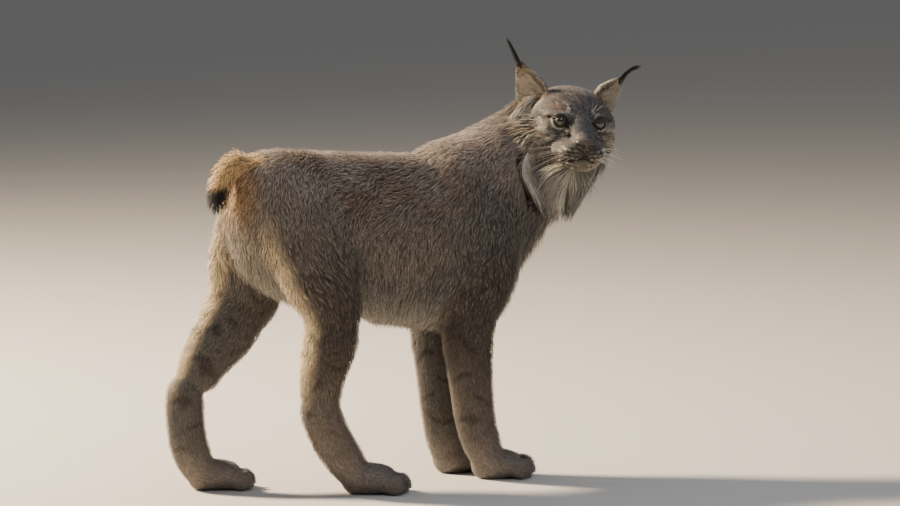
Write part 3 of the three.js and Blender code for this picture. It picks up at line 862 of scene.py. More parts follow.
def head_marks(points: Array, normals: Array, zones: dict[str, Array]) -> Marks:
    """Colours the head and ears.

    Args:
        points: Places in the model's frame.
        normals: The skin's directions outward there.
        zones: How much the head and the ears have to do with each point.

    Returns:
        The colours.
    """
    local = to_head(points)
    facing = normals @ np.array(HEAD_TURNED)
    x, y, z = local.T
    flat = np.abs(y)
    folded = fold(local)
    marks = Marks.plain(Tone.HEAD, len(points), pale=0.34, dark=0.34)
    marks.paint(Tone.FOREHEAD, smooth(z, 8, 30) * smooth(x, -20, 20))
    marks.paint(Tone.CHEEK, smooth(flat, 34, 52) * smooth(z, 20, -5))
    marks.paint(Tone.TAN, smooth(x, 0, -50) * smooth(z, -10, 20) * 0.3)
    marks.paint(Tone.MUZZLE, smooth(x, 52, 66) * smooth(z, -20, -32))
    marks.paint(Tone.FOREHEAD, smooth(np.linalg.norm((folded - (56, 26, -16)) * (0.7, 1, 1), axis=1), 18, 9))
    # Painted shade: the underside of the chin is given the darker cheek colour
    marks.paint(Tone.CHEEK, smooth(z, -50, -60) * smooth(x, -30, 10))
    for streak in STREAKS:
        gap = distance_to_path(folded, list(streak.path)) + 1.4 * wander(points, 9, 31)
        broken = 0.6 + 0.4 * smooth(wander(points, 14, 32), -0.8, 0.3)
        shown = smooth(gap, streak.half_width * 1.7, streak.half_width * 0.8)
        marks.paint(streak.tone, shown * broken * streak.strength)
        marks.calm(shown * broken * 0.8)
    paint_lids(marks, local)
    # A pale tan patch on top of the nose bridge: partly tan hair, partly a painted highlight
    spot = smooth(np.linalg.norm(local - (86, -6, -13), axis=1), 12, 6)
    marks.paint(Tone.TAN, spot * 0.7)
    marks.paint(Tone.CREAM, spot * 0.45)
    lips = distance_to_path(folded, list(MOUTH))
    mottle = smooth(wander(points, 11, 33), 0.0, 1.0) * smooth(x, 76, 60)
    marks.paint(Tone.DARK, mottle * 0.42)
    side_of_face = smooth(x, 56, 40) * smooth(flat, 26, 44)
    marks.paint(Tone.CREAM, smooth(wander(points, 13, 35), 0.3, 1.2) * side_of_face * smooth(z, 22, 10) * 0.5)
    # The crown is painted darker and with fewer pale tips: partly the coat's dark mottling, partly painted
    # shade over the lit crown
    crown = smooth(x, 50, 34) * smooth(z, 12, 24)
    marks.paint(Tone.RUSSET, crown * smooth(flat, 14, 30) * 0.15)
    marks.paint(Tone.DARK, crown * (0.2 + 0.65 * smooth(wander(points, 9, 36), -0.1, 0.5)))
    marks.calm(crown * 0.4)
    between_eyes = smooth(flat, 22, 10) * smooth(x, 40, 50) * smooth(z, -20, -10) * smooth(z, 30, 20)
    marks.paint(Tone.FOREHEAD, between_eyes * 0.7)
    pads = smooth(x, 54, 64) * smooth(x, 94, 86) * smooth(z, -30, -34) * smooth(flat, 6, 12)
    row = np.sin(2 * math.pi * (z + 0.25 * x) / ROW_SPACING) + 0.7 * wander(points, 8, 34)
    marks.paint(Tone.CREAM, smooth(row, -0.2, -0.9) * pads * 0.6)
    marks.paint(Tone.DARK, smooth(row, 0.1, 0.7) * pads * smooth(lips, 4, 7) * 0.75)
    marks.paint(Tone.BLACK, smooth(lips, 4.4, 2.6))
    for shape in EARS.values():
        paint_ear(marks, shape, local, facing, zones["ear"])
    from_eye = np.linalg.norm((folded - np.array(EYE_AT)) * (1, 0.8, 1), axis=1)
    marks.calm(np.clip(smooth(from_eye, 25, 20) + smooth(x, 62, 76), 0, 1))
    return marks


# The lids' opening, in millimetres along the eyeball from its middle, across towards the outer corner

EYE_REACH = 30.0
EYE_SLANT = 12
EYE_SPLAY = 20
LIDS_MIDDLE = 0.6
LIDS_HALF = 15.6
LIDS_ABOVE = 7.4
LIDS_BELOW = 8.2
INNER_CORNER = -15.5
CORNER_REACH = 5.0
CORNER_HALF = 1.9
SPAN_MIDDLE = -2.2
SPAN_HALF = 18.2
RIM_ENDS = (-19.6, 15.6)


def eye_axes(side: Side) -> Array:
    """Gives the opening's directions in the head's frame.

    Args:
        side: Which eye.

    Returns:
        Three rows: forward, across to the outer corner, and up.
    """
    slant, splay = math.radians(EYE_SLANT * side.value), math.radians(EYE_SPLAY * side.value)
    turn = Euler((slant, 0, splay), "XYZ").to_matrix()
    axes = np.array(turn).T
    return np.array([axes[0], axes[1] * side.value, axes[2]])


def almond(across: Array, up: Array) -> Array:
    """How far a place is outside the lids' opening, in millimetres, and less than 0 inside it.

    Args:
        across: Distance along the opening towards its outer corner.
        up: Distance above its middle.

    Returns:
        One distance for each place.
    """
    shut = np.clip(1 - (np.abs(across - LIDS_MIDDLE) / LIDS_HALF) ** 2.2, 0, 1)
    roof = LIDS_ABOVE * shut ** 0.9
    floor = -LIDS_BELOW * shut ** 0.85
    corner = np.clip(1 - np.abs(across - INNER_CORNER) / CORNER_REACH, 0, 1)
    roof = np.maximum(roof, CORNER_DIP + CORNER_HALF * corner)
    floor = np.minimum(floor, np.where(corner > 0, CORNER_DIP - CORNER_HALF * corner, floor))
    gap = np.maximum(up - roof, floor - up)
    beyond = np.maximum(np.abs(across - SPAN_MIDDLE) - SPAN_HALF, 0)
    return np.where(beyond > 0, np.maximum(gap, beyond), gap)


def on_eye(local: Array, side: Side) -> tuple[Array, ...]:
    """Places round one eye, as distances along its ball.

    Args:
        local: Places in the head's frame.
        side: Which eye.

    Returns:
        Distance from the eye's middle, and the place across and up along the ball.
    """
    offset = (local - eye_centre(side)) @ eye_axes(side).T
    radius = np.linalg.norm(offset, axis=1)
    across = EYE_RADIUS * np.arctan2(offset[:, 1], np.maximum(offset[:, 0], 1e-3))
    up = EYE_RADIUS * np.arctan2(offset[:, 2], np.maximum(offset[:, 0], 1e-3))
    return radius, across, np.where(offset[:, 0] > 0, up, 1e3)


def lid_edge(local: Array, wide: float) -> Array:
    """A share that is 1 on the lids' edge and inside it, and 0 beyond a width from it.

    Args:
        local: Places in the head's own frame.
        wide: The width.

    Returns:
        One share for each place.
    """
    share = np.zeros(len(local))
    for side in Side:
        radius, across, up = on_eye(local, side)
        near = almond(across, up)
        share = np.maximum(share, smooth(near, wide, wide * 0.45) * (radius < 26))
    return share


# Skins

COMB_PASSES = 110
PILE_REACH = 0.14
FLOW_REACH = 0.3
PILE_FIELDS = ("length", "root_lift", "tip_lift", "thick", "apart")


def face_lie(points: Array) -> Array:
    """The way that hair lies on the head: back from the nose, and down on the cheeks and chin.

    Args:
        points: Places in the model's frame.

    Returns:
        One direction for each point.
    """
    local = to_head(points)
    way = unit(local - np.array(NOSE_TIP))
    cheek = smooth(np.abs(local[:, 1]), 25, 50) * smooth(local[:, 2], 5, -25)
    way[:, 2] -= 0.5 * cheek
    way[:, 1] += 0.35 * cheek * np.sign(local[:, 1])
    return way @ np.array(HEAD_TURNED).T


def trunk_lie(points: Array) -> Array:
    """The way that hair lies on the trunk: back along the spine, and down the flanks, chest and rump.

    Args:
        points: Places in the model's frame.

    Returns:
        One direction for each point.
    """
    x, _, z = points.T
    low = smooth(z, 520, 360)
    front = smooth(x, 215, 285)
    rear = smooth(x, -215, -262)
    groin = np.exp(-((x + 70) / 60) ** 2) * smooth(z, 440, 330)
    back = -(1 - 0.75 * low) * (1 - front) * (1 - 0.8 * rear) + 0.45 * groin
    down = -0.12 - 0.75 * low - 0.9 * front - 0.9 * rear
    return unit(np.column_stack([back, np.zeros_like(back), down]))


def read(parts: bpy.types.bpy_prop_collection, name: str, wide: int, kind: type = float) -> Array:
    """Reads one property of all of a mesh's points, corners or triangles.

    Args:
        parts: The points, corners or triangles.
        name: The property.
        wide: How many values it has.
        kind: The type of the values.

    Returns:
        One row for each.
    """
    flat = np.empty(len(parts) * wide, kind)
    parts.foreach_get(name, flat)
    return flat.reshape(-1, wide)


@dataclass
class Skin:
    """A closed skin melted from forms, and what each of its points knows about its coat."""

    name: str
    forms: list[Form]
    voxel: float
    passes: int
    points: Array | None = None
    normals: Array | None = None
    triangles: Array | None = None
    corners: Array | None = None
    unwrap: Array | None = None
    flow: Array | None = None
    pile: Array | None = None
    zones: dict[str, Array] = field(default_factory=dict)

    def melt(self) -> Shell:
        """Fuses the forms into one smooth closed surface.

        Returns:
            The surface, in millimetres in the model's frame.
        """
        rough = bmesh.new()
        for form in self.forms:
            form.build(rough)
        mesh = bpy.data.meshes.new(self.name + "_rough")
        rough.to_mesh(mesh)
        rough.free()
        holder = bpy.data.objects.new(mesh.name, mesh)
        bpy.context.scene.collection.objects.link(holder)
        fuse = holder.modifiers.new("fuse", "REMESH")
        fuse.mode = "VOXEL"
        fuse.voxel_size = self.voxel
        fused = bpy.data.meshes.new_from_object(holder.evaluated_get(bpy.context.evaluated_depsgraph_get()))
        shell = bmesh.new()
        shell.from_mesh(fused)
        bpy.data.objects.remove(holder)
        bpy.data.meshes.remove(mesh)
        bpy.data.meshes.remove(fused)
        soften(shell, shell.verts, self.passes)
        return shell

    def settle(self, shell: Shell) -> Piece:
        """Makes the shell an object, unwraps it and reads its arrays.

        Args:
            shell: The finished surface in millimetres; it is freed.

        Returns:
            The object, in metres in the frame.
        """
        bmesh.ops.recalc_face_normals(shell, faces=shell.faces)
        mesh = bpy.data.meshes.new(self.name)
        shell.to_mesh(mesh)
        shell.free()
        mesh.shade_smooth()
        self.points = read(mesh.vertices, "co", 3)
        self.normals = read(mesh.vertices, "normal", 3)
        mesh.vertices.foreach_set("co", to_frame(self.points).ravel())
        piece = place(mesh)
        unwrap_piece(piece)
        mesh.calc_loop_triangles()
        self.triangles = read(mesh.loop_triangles, "vertices", 3, int)
        self.corners = read(mesh.loop_triangles, "loops", 3, int)
        self.unwrap = read(mesh.uv_layers["OFBake"].data, "uv", 2)
        self.read_forms()
        return piece

    def read_forms(self) -> None:
        """Works out, at each point, the lie and pile of the hair and the zone, from the nearest forms."""
        count = len(self.points)
        rows = np.arange(count)
        reach = np.empty((count, len(self.forms)))
        ways = np.empty((count, len(self.forms), 3))
        nose_way = face_lie(self.points)
        trunk_way = trunk_lie(self.points)
        for column, form in enumerate(self.forms):
            cut, wide, high, along = form.measure(self.points, max(8, 4 * len(form.stations)))
            gap = np.linalg.norm(np.diff(cut["middle"], axis=0), axis=1).mean() * 0.6
            beyond = np.maximum(np.abs(along) - gap, 0) / np.minimum(cut["size"][:, 0], cut["size"][:, 1])
            away = wide ** 2 + high ** 2 + beyond ** 2
            nearest = away.argmin(axis=1)
            reach[:, column] = np.sqrt(away[rows, nearest])
            if form.lie is Lie.BACKWARD:
                ways[:, column] = trunk_way
            elif form.lie is Lie.FROM_NOSE:
                ways[:, column] = nose_way
            elif form.lie is Lie.UP_COURSE:
                ways[:, column] = -cut["along"][nearest] + np.array((0, 0, -0.45))
            else:
                ways[:, column] = cut["along"][nearest]
        beyond = reach - reach.min(axis=1, keepdims=True)
        share, soft = (np.exp(-((beyond / size) ** 2)) for size in (PILE_REACH, FLOW_REACH))
        share /= share.sum(axis=1, keepdims=True)
        flow = np.einsum("nf,nfk->nk", soft / soft.sum(axis=1, keepdims=True), ways)
        piles = [[getattr(form.pile, name) for name in PILE_FIELDS] for form in self.forms]
        self.pile = share @ np.array(piles)
        names = {form.zone for form in self.forms}
        self.zones = {name: share[:, [f.zone == name for f in self.forms]].sum(axis=1) for name in names}
        swirl = np.radians(13) * wander(self.points, 60, 41) + np.radians(8) * wander(self.points, 22, 42)
        self.flow = self.combed(flow, swirl)

    def combed(self, flow: Array, swirl: Array) -> Array:
        """Lays directions along the surface, evens them out, and turns them a little.

        Args:
            flow: Directions at the points.
            swirl: The angle to turn each by, in radians.

        Returns:
            Directions of length one in the surface.
        """
        for _ in range(COMB_PASSES):
            flow = in_plane(flow, self.normals)
            total = np.zeros_like(flow)
            for a, b in ((0, 1), (1, 2), (2, 0)):
                for axis in range(3):
                    ends = flow[self.triangles[:, b], axis]
                    total[:, axis] += np.bincount(self.triangles[:, a], ends, len(flow))
            flow = unit(total + flow)
        flow = in_plane(flow, self.normals)
        across = np.cross(self.normals, flow)
        return flow * np.cos(swirl)[:, None] + across * np.sin(swirl)[:, None]


def soften(shell: Shell, some: list[bmesh.types.BMVert], passes: int) -> None:
    """Evens out some points of a surface, a few times over.

    Args:
        shell: The surface.
        some: The points.
        passes: How many times.
    """
    for _ in range(passes):
        bmesh.ops.smooth_vert(
            shell, verts=some, factor=0.5, use_axis_x=True, use_axis_y=True, use_axis_z=True
        )


def to_frame(points: Array) -> Array:
    """Places in the model's frame, in millimetres, as places in the frame, in metres."""
    return (np.asarray(points) + SHIFT) * MM


def place(mesh: bpy.types.Mesh) -> Piece:
    """Puts a mesh in the scene.

    Args:
        mesh: The mesh.

    Returns:
        The object, at the origin.
    """
    piece = bpy.data.objects.new(mesh.name, mesh)
    bpy.context.scene.collection.objects.link(piece)
    return piece


def unwrap_piece(piece: Piece) -> None:
    """Unwraps a skin by its own shape, into a map named OFBake.

    Args:
        piece: The skin.
    """
    piece.data.uv_layers.new(name="OFBake")
    bpy.ops.object.select_all(action="DESELECT")
    piece.select_set(True)
    bpy.context.view_layer.objects.active = piece
    bpy.ops.object.mode_set(mode="EDIT")
    bpy.ops.mesh.select_all(action="SELECT")
    bpy.ops.uv.smart_project(angle_limit=math.radians(66), island_margin=0.004)
    bpy.ops.object.mode_set(mode="OBJECT")


def give_colour(mesh: bpy.types.Mesh, colours: Array) -> None:
    """Stores linear colours on a mesh's points, in an attribute named coat.

    Args:
        mesh: The mesh.
        colours: One colour for each point.
    """
    layer = mesh.attributes.new("coat", "FLOAT_COLOR", "POINT")
    rgba = np.ones((len(colours), 4), np.float32)
    rgba[:, :3] = np.clip(colours, 0, 1)
    layer.data.foreach_set("color", rgba.ravel())


# Strands

PATCH = 0.003
RING = ((1.0, 0.0), (0.0, 0.55), (-1.0, 0.0))
SHADED_BULGE = 0.55
HOME_ENDS = (0.02, 0.98)


def scattered(draw: Random, count: int) -> Array:
    """Places for a number of strands anywhere on an unwrap."""
    return np.column_stack([draw.uniform(*HOME_ENDS, count), draw.uniform(*HOME_ENDS, count)])


@dataclass
class Strands:
    """Many tapered strands of three sides.

    Attributes:
        paths: Places in millimetres, a row of places for each strand, the last one its tip.
        across: The direction across each strand's broad side.
        outward: The direction that the broad side faces.
        width: Half widths, one for each place but the tip.
        colour: Linear colours, one for each place.
        home: Where each root lies on the unwrap of the skin.
    """

    paths: Array
    across: Array
    outward: Array
    width: Array
    colour: Array
    home: Array

    def part(self, some: slice | Array) -> "Strands":
        """Some of the strands."""
        fields = (self.paths, self.across, self.outward, self.width, self.colour, self.home)
        return Strands(*(values[some] for values in fields))

    def faces(self, rings: int) -> list[tuple[int, ...]]:
        """The faces of one strand, by its points: rings of three, then the tip.

        Args:
            rings: How many rings.

        Returns:
            The points of each face.
        """
        found = [(2, 1, 0)]
        for ring in range(rings - 1):
            base = 3 * ring
            found += [(base + a, base + b, base + b + 3, base + a + 3) for a, b in ((0, 1), (1, 2), (2, 0))]
        base = 3 * (rings - 1)
        found += [(base + a, base + b, 3 * rings) for a, b in ((0, 1), (1, 2), (2, 0))]
        return found

    def mesh(self, name: str) -> bpy.types.Mesh:
        """Makes one mesh of all the strands.

        Args:
            name: The mesh's name.

        Returns:
            The mesh, in metres in the frame.
        """
        count, places = self.paths.shape[:2]
        rings = places - 1
        ring = np.array(RING)
        offset = self.across[:, None, None] * ring[:, 0, None]
        offset = offset + self.outward[:, None, None] * ring[:, 1, None]
        around = self.paths[:, :-1, None] + offset * self.width[:, :, None, None]
        points = np.concatenate([around.reshape(count, rings * 3, 3), self.paths[:, -1:]], axis=1)
        faces = self.faces(rings)
        corners = np.concatenate(faces)
        starts = np.cumsum([0] + [len(face) for face in faces[:-1]])
        each = rings * 3 + 1
        mesh = bpy.data.meshes.new(name)
        mesh.vertices.add(count * each)
        mesh.vertices.foreach_set("co", to_frame(points).astype(np.float32).ravel())
        mesh.loops.add(count * len(corners))
        strand = np.arange(count)[:, None]
        mesh.loops.foreach_set("vertex_index", (corners + strand * each).astype(np.int32).ravel())
        mesh.polygons.add(count * len(faces))
        mesh.polygons.foreach_set("loop_start", (starts + strand * len(corners)).astype(np.int32).ravel())
        mesh.update(calc_edges=True)
        tone = np.repeat(self.colour[:, :-1], 3, axis=1)
        give_colour(mesh, np.concatenate([tone, self.colour[:, -1:]], axis=1).reshape(-1, 3))
        rise = np.append(np.repeat(np.arange(rings), 3), rings) / rings - 0.5
        sway = np.append(np.tile(ring[:, 0], rings), 0.0) * 0.5
        spot = self.home[:, None] + PATCH * np.column_stack([sway, rise])[corners]
        layer = mesh.uv_layers.new(name="OFBake")
        layer.data.foreach_set("uv", spot.astype(np.float32).ravel())
        mesh.shade_smooth()
        bulge = np.tile(offset, (1, rings, 1, 1)).reshape(count, rings * 3, 3)
        shading = bulge * SHADED_BULGE + self.outward[:, None]
        shading = np.concatenate([shading, self.outward[:, None]], axis=1)
        mesh.normals_split_custom_set_from_vertices(unit(shading).reshape(-1, 3).astype(np.float32))
        return mesh


# Materials

def wire(tree: Tree, made: Node, inputs: dict) -> None:
    """Sets a node's inputs.

    Args:
        tree: The material's tree.
        made: The node.
        inputs: A value or a linked output for each input, by name or number.
    """
    for name, value in inputs.items():
        if isinstance(value, Socket):
            tree.links.new(value, made.inputs[name])
        else:
            made.inputs[name].default_value = value


def node(tree: Tree, kind: str, inputs: dict, **settings: object) -> Node:
    """Adds a shader node.

    Args:
        tree: The material's tree.
        kind: The node's type, without the words that all types begin with.
        inputs: A value or a linked output for each input, by name or number.
        settings: Its properties.

    Returns:
        The node.
    """
    made = tree.nodes.new("ShaderNode" + kind)
    for name, value in settings.items():
        setattr(made, name, value)
    wire(tree, made, inputs)
    return made


def blank(name: str) -> tuple[Material, Tree, Node, Socket]:
    """Begins a material.

    Args:
        name: Its name.

    Returns:
        The material, its tree, its shader, and the output with places on the object.
    """
    material = bpy.data.materials.new(name)
    material.use_nodes = True
    tree = material.node_tree
    return material, tree, tree.nodes["Principled BSDF"], node(tree, "TexCoord", {}).outputs["Object"]


def varied(tree: Tree, colour: Socket, limits: dict) -> Socket:
    """Makes a colour lighter and darker by a pattern.

    Args:
        tree: The material's tree.
        colour: The colour.
        limits: The pattern as Value, and the limits that it is mapped between.

    Returns:
        The new colour.
    """
    factor = node(tree, "MapRange", limits).outputs["Result"]
    return node(tree, "VectorMath", {0: colour, "Scale": factor}, operation="SCALE").outputs["Vector"]


# Gives the eye soft hair, matt in the mass, with a faint gleam where it turns to the light
@dataclass(frozen=True)
class Keratin:
    """Hair or the skin under it: soft and half matt, with fine changes of tone and a faint gleam."""

    name: str
    roughness: float = 0.6
    sheen: float = 0.14
    grain_mm: float = 5.0
    spread: float = 0.28
    relief_mm: float = 0.0

    def make(self) -> Material:
        """Builds the material over the markings kept on the piece.

        Returns:
            The material.
        """
        material, tree, shader, where = blank(self.name)
        tone = node(tree, "Attribute", {}, attribute_name="coat").outputs["Color"]
        size = {"Vector": where, "Scale": 1 / (self.grain_mm * MM), "Detail": 3.0}
        grain = node(tree, "TexNoise", size).outputs["Fac"]
        limits = {"Value": grain, "From Min": 0.3, "From Max": 0.7}
        limits |= {"To Min": 1 - self.spread, "To Max": 1 + self.spread}
        look = {"Base Color": varied(tree, tone, limits), "Roughness": self.roughness, "IOR": 1.5}
        look |= {"Specular IOR Level": 0.35, "Sheen Weight": self.sheen}
        if self.relief_mm:
            relief = node(tree, "Bump", {"Height": grain, "Strength": 0.8, "Distance": self.relief_mm * MM})
            look["Normal"] = relief.outputs["Normal"]
        wire(tree, shader, look)
        return material


# Gives the eye fine pebbles that break up a dull, slightly moist gleam
@dataclass(frozen=True)
class NoseLeather:
    """Bare nose skin: pebbled, barely moist, over the brown and black kept on the piece."""

    name: str = "nose_leather"
    pebble_mm: float = 0.9
    roughness: float = 0.5
    moisture: float = 0.1

    def make(self) -> Material:
        """Builds the material.

        Returns:
            The material.
        """
        material, tree, shader, where = blank(self.name)
        tone = node(tree, "Attribute", {}, attribute_name="coat").outputs["Color"]
        cells = {"Vector": where, "Scale": 1 / (self.pebble_mm * MM)}
        pebble = node(tree, "TexVoronoi", cells, feature="SMOOTH_F1").outputs["Distance"]
        heights = {"Height": pebble, "Strength": 0.5, "Distance": 0.25 * MM}
        # Painted shade: each pebble is painted darker towards its edges, down in the grooves between pebbles
        wire(tree, shader, {
            "Base Color": varied(tree, tone, {"Value": pebble, "To Min": 1.1, "To Max": 0.7}),
            "Normal": node(tree, "Bump", heights, invert=True).outputs["Normal"],
            "Roughness": self.roughness,
            "Coat Weight": self.moisture,
            "Coat Roughness": 0.22,
        })
        return material


# Gives the eye a thin wet line, which sets the eye and the mouth off from the fur
@dataclass(frozen=True)
class WetLid:
    """Black lid rims and lips: hairless, smooth and moist, with a thin highlight."""

    name: str = "wet_black_skin"
    colour: str = "0f0c0b"
    fold_mm: float = 1.6
    roughness: float = 0.33

    def make(self) -> Material:
        """Builds the material.

        Returns:
            The material.
        """
        material, tree, shader, where = blank(self.name)
        folds = {"Vector": where, "Scale": 1 / (self.fold_mm * MM), "Detail": 4.0}
        fold = node(tree, "TexNoise", folds).outputs["Fac"]
        # Painted shade: the skin is painted darker where the folds sink and lighter where they rise
        stops = node(tree, "ValToRGB", {"Fac": fold})
        for stop, share in zip(stops.color_ramp.elements, (0.6, 1.7)):
            stop.color = (*(linear(self.colour) * share), 1)
        wire(tree, shader, {
            "Base Color": stops.outputs["Color"],
            "Normal": node(tree, "Bump", {"Height": fold, "Distance": 0.2 * MM}).outputs["Normal"],
            "Roughness": self.roughness,
        })
        return material


# Gives the eye a living look, by a sharp highlight over a darker, fibrous iris
@dataclass(frozen=True)
class Eyeball:
    """A living eye: a wet clear front over a round pupil, a fibrous iris and a dark rim."""

    name: str = "eye_iris_and_cornea"
    stops: tuple[tuple[float, str], ...] = (
        (0.0, "020202"), (4.7, "030303"), (5.2, "1e1b15"), (6.0, "3b392f"), (7.3, "46463d"),
        (8.2, "26251f"), (8.8, "0e0c0a"), (9.6, "1a1512"), (12.0, "352d27"),
    )
    reach: float = 14.0
    fibre_mm: float = 1.1

    def make(self) -> Material:
        """Builds the material from the distance to the pupil's middle, kept on the piece.

        Returns:
            The material.
        """
        material, tree, shader, where = blank(self.name)
        ring = node(tree, "Attribute", {}, attribute_name="ring").outputs["Fac"]
        fibres = {"Vector": where, "Scale": 1 / (self.fibre_mm * MM), "Detail": 5.0}
        fibre = node(tree, "TexNoise", fibres).outputs["Fac"]
        share = node(tree, "MapRange", {"Value": ring, "From Max": self.reach})
        ramp = node(tree, "ValToRGB", {"Fac": share.outputs["Result"]})
        elements = ramp.color_ramp.elements
        for index, (distance, colour) in enumerate(self.stops):
            stop = elements[index] if index < 2 else elements.new(distance / self.reach)
            stop.position = distance / self.reach
            stop.color = (*linear(colour), 1)
        limits = {"Value": fibre, "To Min": 0.55, "To Max": 1.45}
        wire(tree, shader, {
            "Base Color": varied(tree, ramp.outputs["Color"], limits),
            "Roughness": 0.3,
            "Coat Weight": 1.0,
            "Coat Roughness": 0.03,
        })
        return material


# Gives the eye an even ground with soft shadows
@dataclass(frozen=True)
class StudioPaper:
    """Pale matt paper for the floor, with the faintest tooth."""

    name: str = "studio_paper"
    colour: str = "cfcbc4"

    def make(self) -> Material:
        """Builds the material.

        Returns:
            The material.
        """
        material, tree, shader, where = blank(self.name)
        tooth = node(tree, "TexNoise", {"Vector": where, "Scale": 900.0}).outputs["Fac"]
        wire(tree, shader, {
            "Normal": node(tree, "Bump", {"Height": tooth, "Distance": 0.1 * MM}).outputs["Normal"],
            "Base Color": (*linear(self.colour), 1),
            "Roughness": 0.9,
        })
        return material


# The coat

PIECE_TUFTS = 19500
TUFTS_TO_A_LOCK = 9
ROOT_DEPTH = 0.9
FLOOR_GAP = 0.4


@dataclass
class Coat:
    """The tufts that grow on a skin."""

    skin: Skin
    name: str
    marks: Callable[[Array, Array, dict[str, Array]], Marks]
    bare: Array
    finish: Material
    slot: str
    tufts: int
    seed: int
    locks: float = 0.3
    grizzle: float = 0.26

    def grow(self) -> list[Piece]:
        """Plants the tufts, combs them, draws their tips together in locks and colours them.

        Returns:
            The pieces of the coat.
        """
        draw = np.random.default_rng(self.seed)
        skin = self.skin
        a, b, c = (skin.points[skin.triangles[:, k]] for k in range(3))
        area = np.linalg.norm(np.cross(b - a, c - a), axis=1) / 2
        apart = skin.pile[:, 4][skin.triangles].mean(axis=1)
        weight = area / apart ** 2 * (1 - self.bare[skin.triangles].max(axis=1))
        count = int(self.tufts * (1))
        spots = (np.arange(count) + draw.random(count)) * weight.sum() / count
        chosen = np.searchsorted(np.cumsum(weight), spots).clip(0, len(weight) - 1)
        far, along = np.sqrt(draw.random(count)), draw.random(count)
        share = np.column_stack([1 - far, far * (1 - along), far * along])
        corner = skin.triangles[chosen]

        def at_roots(values: Array) -> Array:
            """Values at the skin's points, as values at the tufts' roots."""
            return np.einsum("nk,nk...->n...", share, values[corner])

        root = at_roots(skin.points)
        normal = unit(at_roots(skin.normals))
        flow = in_plane(at_roots(skin.flow), normal)
        length, root_lift, tip_lift, thick, _ = at_roots(skin.pile).T
        zones = {name: at_roots(values) for name, values in skin.zones.items()}
        home = np.einsum("nk,nkc->nc", share, skin.unwrap[skin.corners[chosen]])
        veer = np.radians(draw.normal(0, 9, count))[:, None]
        across = np.cross(normal, flow)
        way = flow * np.cos(veer) + across * np.sin(veer)
        length = length * draw.uniform(0.72, 1.22, count)
        rise = np.radians(root_lift + draw.normal(0, 6, count))[:, None]
        rest = np.radians(tip_lift + draw.normal(0, 6, count))[:, None]
        half = length[:, None] / 2
        middle = root + (way * np.cos(rise) + normal * np.sin(rise)) * half
        tip = middle + (way * np.cos(rest) + normal * np.sin(rest)) * half
        tip, middle = self.gathered(root, middle, tip, length, draw)
        paths = np.stack([root - normal * ROOT_DEPTH, middle, tip], axis=1)
        paths[:, :, 2] = np.maximum(paths[:, :, 2], FLOOR_GAP - SHIFT[2])
        marks = self.marks(root + way * half * 1.1, normal, zones)
        colour = self.tinted(marks, draw)
        width = np.stack([thick * 0.9, thick], axis=1) * 1
        lateral = unit(np.cross(normal, tip - root))
        whole = Strands(paths, lateral, normal, width, colour, home)
        return self.pieces(whole)

    def gathered(self, root: Array, middle: Array, tip: Array, length: Array,
                 draw: Random) -> tuple[Array, Array]:
        """Draws neighbouring tips together, as locks form in a coat.

        Args:
            root: Where the tufts grow.
            middle: Their middles.
            tip: Their tips.
            length: Their lengths.
            draw: The random draw.

        Returns:
            The new tips and middles.
        """
        leaders = draw.choice(len(root), max(len(root) // TUFTS_TO_A_LOCK, 1), replace=False)
        tree = KDTree(len(leaders))
        for index, leader in enumerate(leaders):
            tree.insert(root[leader], index)
        tree.balance()
        nearest = leaders[[tree.find(place)[1] for place in root]]
        pull = (self.locks * smooth(length, 4, 18) * draw.uniform(0.5, 1.1, len(root)))[:, None]
        return tip + (tip[nearest] - tip) * pull, middle + (middle[nearest] - middle) * pull * 0.4

    def tinted(self, marks: Marks, draw: Random) -> Array:
        """Colours each tuft: dark below, partly as painted shade deep in the coat, with some pale and some
        dark tips.

        Args:
            marks: The coat's markings at the tufts.
            draw: The random draw.

        Returns:
            A colour for the root, middle and tip of each.
        """
        count = len(marks.colour)
        body = marks.colour * draw.uniform(1 - self.grizzle, 1 + self.grizzle, (count, 1))
        lot = draw.random(count)
        pale = (lot < marks.pale)[:, None]
        dark = (lot > 1 - marks.dark)[:, None]
        lit = body + (Tone.PALE_TIP.rgb - body) * 0.6
        tip = np.where(pale, lit, np.where(dark, body * 0.42, body * 1.06))
        middle = np.where(pale, body * 0.85, np.where(dark, body * 0.7, body))
        # The root is darker: partly the darker underfur, partly painted shade deep in the coat
        return np.stack([body * 0.66, middle, tip], axis=1)

    def pieces(self, whole: Strands) -> list[Piece]:
        """Divides the tufts into pieces small enough to keep, in order along the skin.

        Args:
            whole: All the tufts.

        Returns:
            The pieces.
        """
        made = []
        number = math.ceil(len(whole.paths) / PIECE_TUFTS)
        for index, some in enumerate(np.array_split(np.arange(len(whole.paths)), number)):
            piece = place(whole.part(some).mesh(f"{self.name}_{index + 1}"))
            made.append(dressed(piece, self.finish, self.slot))
        return made


def dressed(piece: Piece, finish: Material, slot: str, *nodes: str) -> Piece:
    """Gives a piece its finish and ties it to the frame.

    Args:
        piece: The object.
        finish: Its material.
        slot: Not used.
        nodes: The frame's nodes that it stands for.

    Returns:
        The object.
    """
    piece.data.materials.clear()
    piece.data.materials.append(finish)
    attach(piece, "root")
    if nodes:
        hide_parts(*nodes)
    LOG.info("%s: %d faces", piece.name, len(piece.data.polygons))
    return piece


